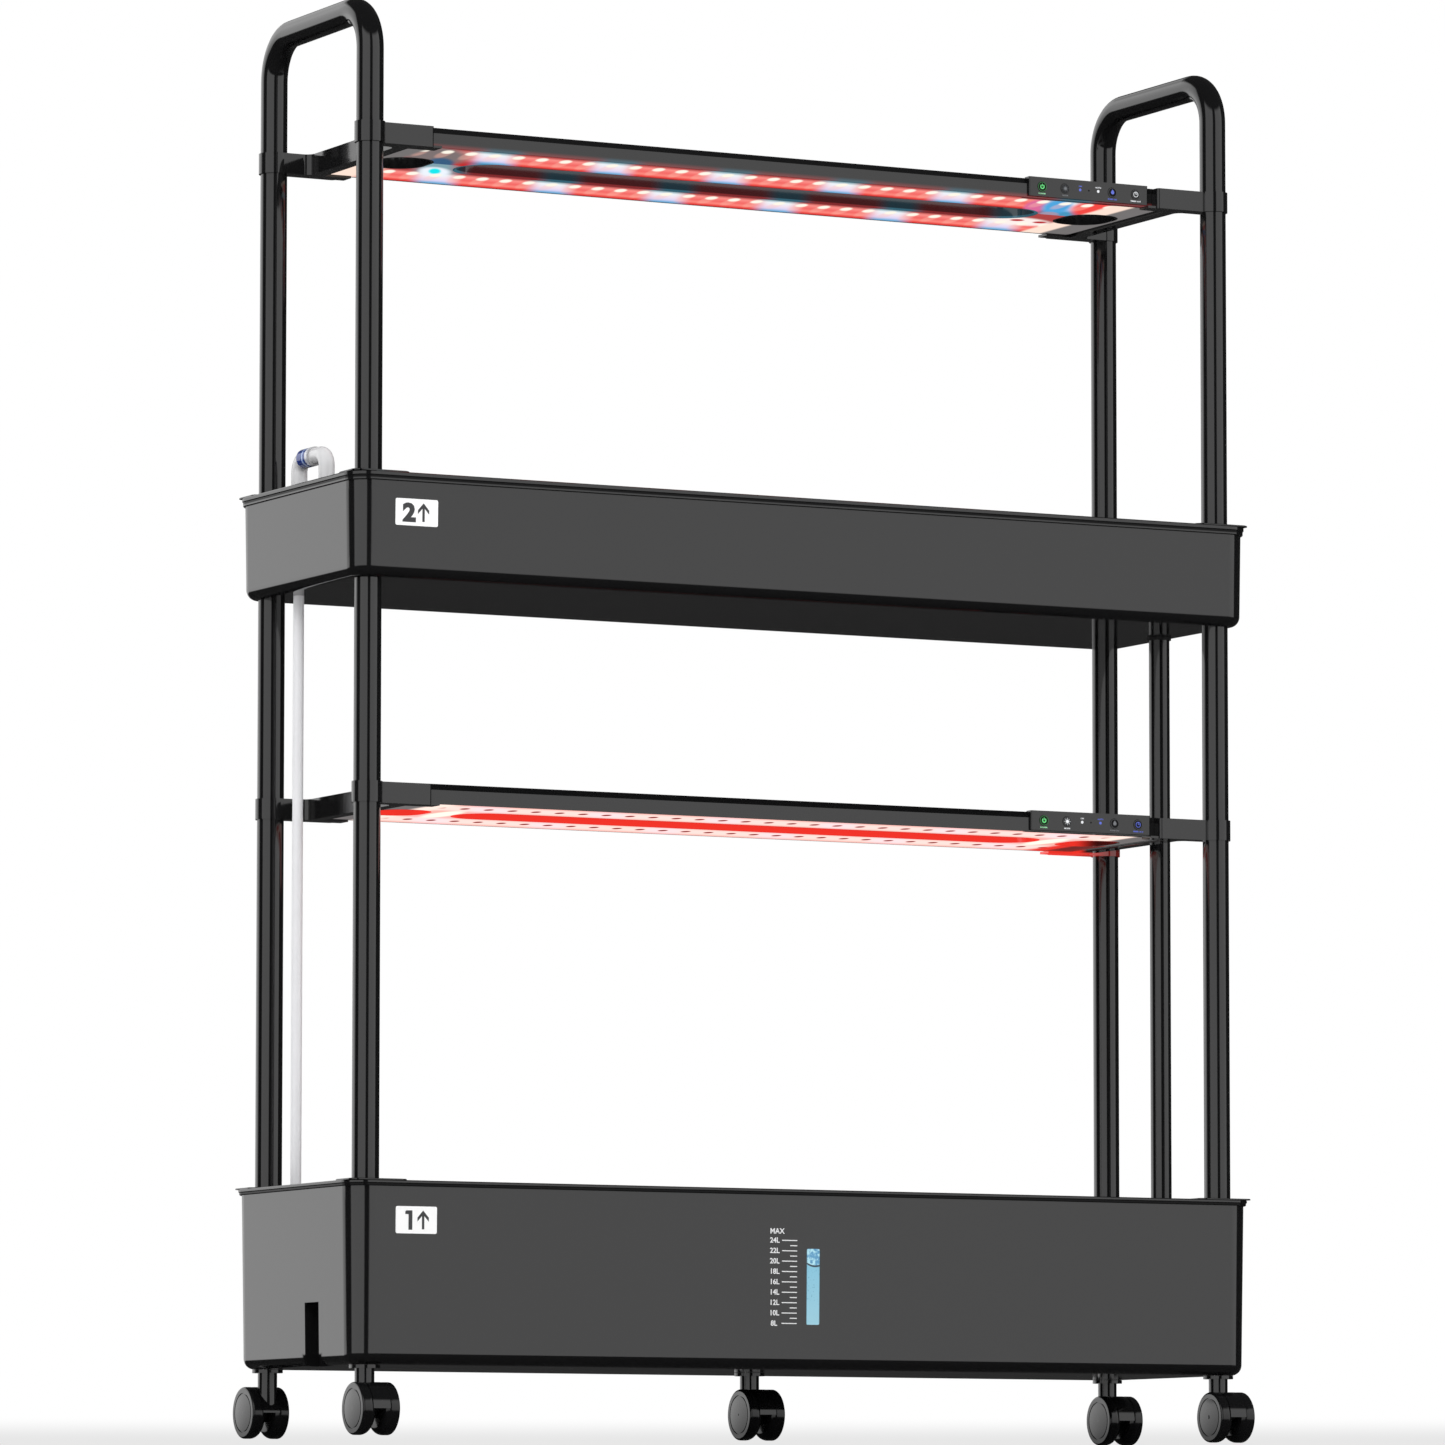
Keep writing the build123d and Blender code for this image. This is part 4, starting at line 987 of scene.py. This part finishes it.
def centred_word(word):
    """Small wide print with its middle above the origin."""
    mesh = lettered(word, word_size, 0.00005)
    mesh.transform(Matrix.Diagonal((word_width, 1, 1, 1)))
    right = max(vertex.co.x for vertex in mesh.vertices)
    mesh.transform(Matrix.Translation((-right / 2, 0, 0)))
    return mesh


def facing_front(x, y, z):
    """Matrix that stands a flat form up at a place, with its face to the front."""
    return Matrix.Translation((x, y, z)) @ Matrix.Rotation(math.pi / 2, 4, "X")


def printed_word(name, word, place, ink):
    """Word on a panel's face."""
    fitted(name + "_word", joined_mesh("word", [(centred_word(word), place)]), ink, "stand")


shown = {
    "upper": {"power": "green", "mode": "grey", "pump": "blue", "timer": "white"},
    "lower": {"power": "green", "mode": "white", "pump": "grey", "timer": "blue"},
}
pilots = {"upper": ("blue", "white"), "lower": ("white", "blue")}
pilot_x = (0.3050, 0.3250)
cap_flange = 0.001
symbol_inset = 0.00004
word_proud = 0.00006
word_drop = 0.0072
pilot_word_rise = 0.0029
lens_radius, lens_depth, lens_inset = 0.00135, 0.0008, 0.0007
for tier in ("lower", "upper"):
    for symbol, ink in shown[tier].items():
        low_corner, high_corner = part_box(f"{tier}_button_{symbol}")
        middle = (low_corner + high_corner) / 2
        face = facing_front(middle.x, low_corner.y + symbol_inset, middle.z)
        mesh = joined_mesh(symbol, [(mark, face) for mark in symbols[symbol]])
        fitted(f"{tier}_{symbol}_symbol", mesh, inks[ink], f"{tier}_{symbol}_button")
        cap_radius = (high_corner.x - low_corner.x) / 2 - cap_flange
        rim = joined_mesh("rim", [(flat_ring(cap_radius * 0.98, cap_radius * 0.86), face)])
        rim_ink = rim_inks["green" if ink == "green" else "other"]
        fitted(f"{tier}_{symbol}_rim", rim, rim_ink, f"{tier}_{symbol}_button")
        front_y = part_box(tier + "_control_panel")[0].y - word_proud
        below = facing_front(middle.x, front_y, middle.z - word_drop)
        word_ink = inks["pale_green" if ink == "green" else ink]
        printed_word(f"{tier}_{symbol}", words[symbol], below, word_ink)
    low_corner, high_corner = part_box(tier + "_control_panel")
    mid_z = (low_corner.z + high_corner.z) / 2
    for index, (x, ink) in enumerate(zip(pilot_x, pilots[tier])):
        seat = facing_front(x, low_corner.y + lens_inset, mid_z)
        mesh = joined_mesh("lens", [(disc(lens_radius, lens_depth), seat)])
        fitted(f"{tier}_pilot_{index + 1}", mesh, inks[ink], "stand")
        above = facing_front(x, low_corner.y - word_proud, mid_z + pilot_word_rise)
        printed_word(f"{tier}_pilot_{index + 1}", pilot_words[index], above, inks[ink])


# Floor and light: a pale studio floor that shows from above only, a white surround with
# painted floor shade just above the horizon, and a ring of soft panels that the gloss of
# the black plastic picks up.
def studio_floor():
    """Large pale floor that lets the view from below through."""
    material, tree, shader, place = new_material("studio_floor")
    drift = cloud(tree, place, 1.5)
    pale = mixed(tree, drift, (0.80, 0.80, 0.80), (0.84, 0.84, 0.84))
    tree.links.new(pale, shader.inputs["Base Color"])
    shader.inputs["Roughness"].default_value = 0.7
    open_side = tree.nodes.new("ShaderNodeBsdfTransparent")
    choice = tree.nodes.new("ShaderNodeMixShader")
    side = tree.nodes.new("ShaderNodeNewGeometry")
    tree.links.new(side.outputs["Backfacing"], choice.inputs[0])
    tree.links.new(shader.outputs["BSDF"], choice.inputs[1])
    tree.links.new(open_side.outputs["BSDF"], choice.inputs[2])
    tree.links.new(choice.outputs["Shader"], tree.nodes["Material Output"].inputs["Surface"])
    mesh = bpy.data.meshes.new("floor")
    reach = 12.0
    corners = [(-reach, -reach, 0), (reach, -reach, 0), (reach, reach, 0), (-reach, reach, 0)]
    mesh.from_pydata(corners, [], [(0, 1, 2, 3)])
    mesh.materials.append(material)
    floor = bpy.data.objects.new("floor", mesh)
    scene.collection.objects.link(floor)
    floor.visible_glossy = False


studio_floor()

world = bpy.data.worlds.new("studio")
scene.world = world
world.use_nodes = True
studio = world.node_tree
studio.nodes.clear()


def backdrop(colour=None, source=None, strength=1.0):
    """Light from all round, of one colour or of a pattern."""
    node = studio.nodes.new("ShaderNodeBackground")
    node.inputs["Strength"].default_value = strength
    if colour:
        node.inputs["Color"].default_value = (*colour, 1)
    if source:
        studio.links.new(source, node.inputs["Color"])
    return node.outputs["Background"]


direction = studio.nodes.new("ShaderNodeTexCoord").outputs["Generated"]
east, north, height = parted(studio, direction)
toward_x, toward_y = -0.463, -0.881
east_share = worked(studio, "MULTIPLY", east, toward_x)
ahead = worked(studio, "ADD", east_share, worked(studio, "MULTIPLY", north, toward_y))
leftward = worked(studio, "MULTIPLY", north, toward_x)
aside = worked(studio, "SUBTRACT", leftward, worked(studio, "MULTIPLY", east, toward_y))
bearing = worked(studio, "DIVIDE", worked(studio, "ARCTAN2", aside, ahead), math.tau)
around = worked(studio, "ADD", bearing, 0.5)
panel_peak = 2.4
panel_levels = (
    (-180, 0.03), (-172, 0.03), (-168, 0.7), (-160, 0.95), (-145, 1.3), (-135, 1.8),
    (-115, 1.8), (-104, 1.5), (-99, 0.03), (-67, 0.02), (-63, 1.55), (0, 1.55), (3, 0.02),
    (22, 0.02), (26, 1.55), (88, 1.55), (91, 0.02), (180, 0.03),
)
panels = ramp_of(studio, [
    ((angle + 180) / 360, (level / panel_peak,) * 3) for angle, level in panel_levels
])
studio.links.new(around, panels.inputs["Fac"])
low_side = between(studio, height, 0.0, 1.0, -0.16, -0.10)
high_side = between(studio, height, 1.0, 0.0, 0.50, 0.60)
at_height = worked(studio, "MULTIPLY", low_side, high_side)
shown_panels = mixed(studio, at_height, (0.015, 0.015, 0.015), panels.outputs["Color"])
# Painted shade: the surround that the camera sees greys just above the horizon, standing in for the
# floor's shadow.
painted_floor_shade = between(studio, height, 0.80, 1.0, 0.0160, 0.0188, True)
sky = studio.nodes.new("ShaderNodeCombineColor")
for channel in ("Red", "Green", "Blue"):
    studio.links.new(painted_floor_shade, sky.inputs[channel])
paths = studio.nodes.new("ShaderNodeLightPath")
even_light = backdrop(colour=(0.78, 0.78, 0.78))
glossy_light = backdrop(source=shown_panels, strength=panel_peak)
white_light = backdrop(source=sky.outputs["Color"])


def seen_by(kind, others_light, own_light):
    """Own light for rays of one kind, and the others' light for the rest."""
    node = studio.nodes.new("ShaderNodeMixShader")
    for source, socket in zip((paths.outputs[kind], others_light, own_light), node.inputs):
        studio.links.new(source, socket)
    return node.outputs[0]


lighting = seen_by("Is Glossy Ray", even_light, glossy_light)
lighting = seen_by("Is Transmission Ray", lighting, white_light)
lighting = seen_by("Is Camera Ray", lighting, white_light)
world_out = studio.nodes.new("ShaderNodeOutputWorld")
studio.links.new(lighting, world_out.inputs["Surface"])


def soft_lamp(name, place, aim, size, power):
    """Soft rectangular light that no gloss picks up."""
    data = bpy.data.lights.new(name, "AREA")
    data.shape = "RECTANGLE"
    data.size, data.size_y = size
    data.energy = power
    lamp = bpy.data.objects.new(name, data)
    lamp.location = place
    lamp.rotation_euler = (Vector(aim) - Vector(place)).to_track_quat("-Z", "Y").to_euler()
    lamp.visible_glossy = False
    scene.collection.objects.link(lamp)


soft_lamp("key_light", (-2.4, -2.6, 3.0), (0, 0, 0.6), (2.0, 2.0), 68)
soft_lamp("fill_light", (2.8, -1.6, 2.2), (0, 0, 0.6), (2.0, 2.0), 28)
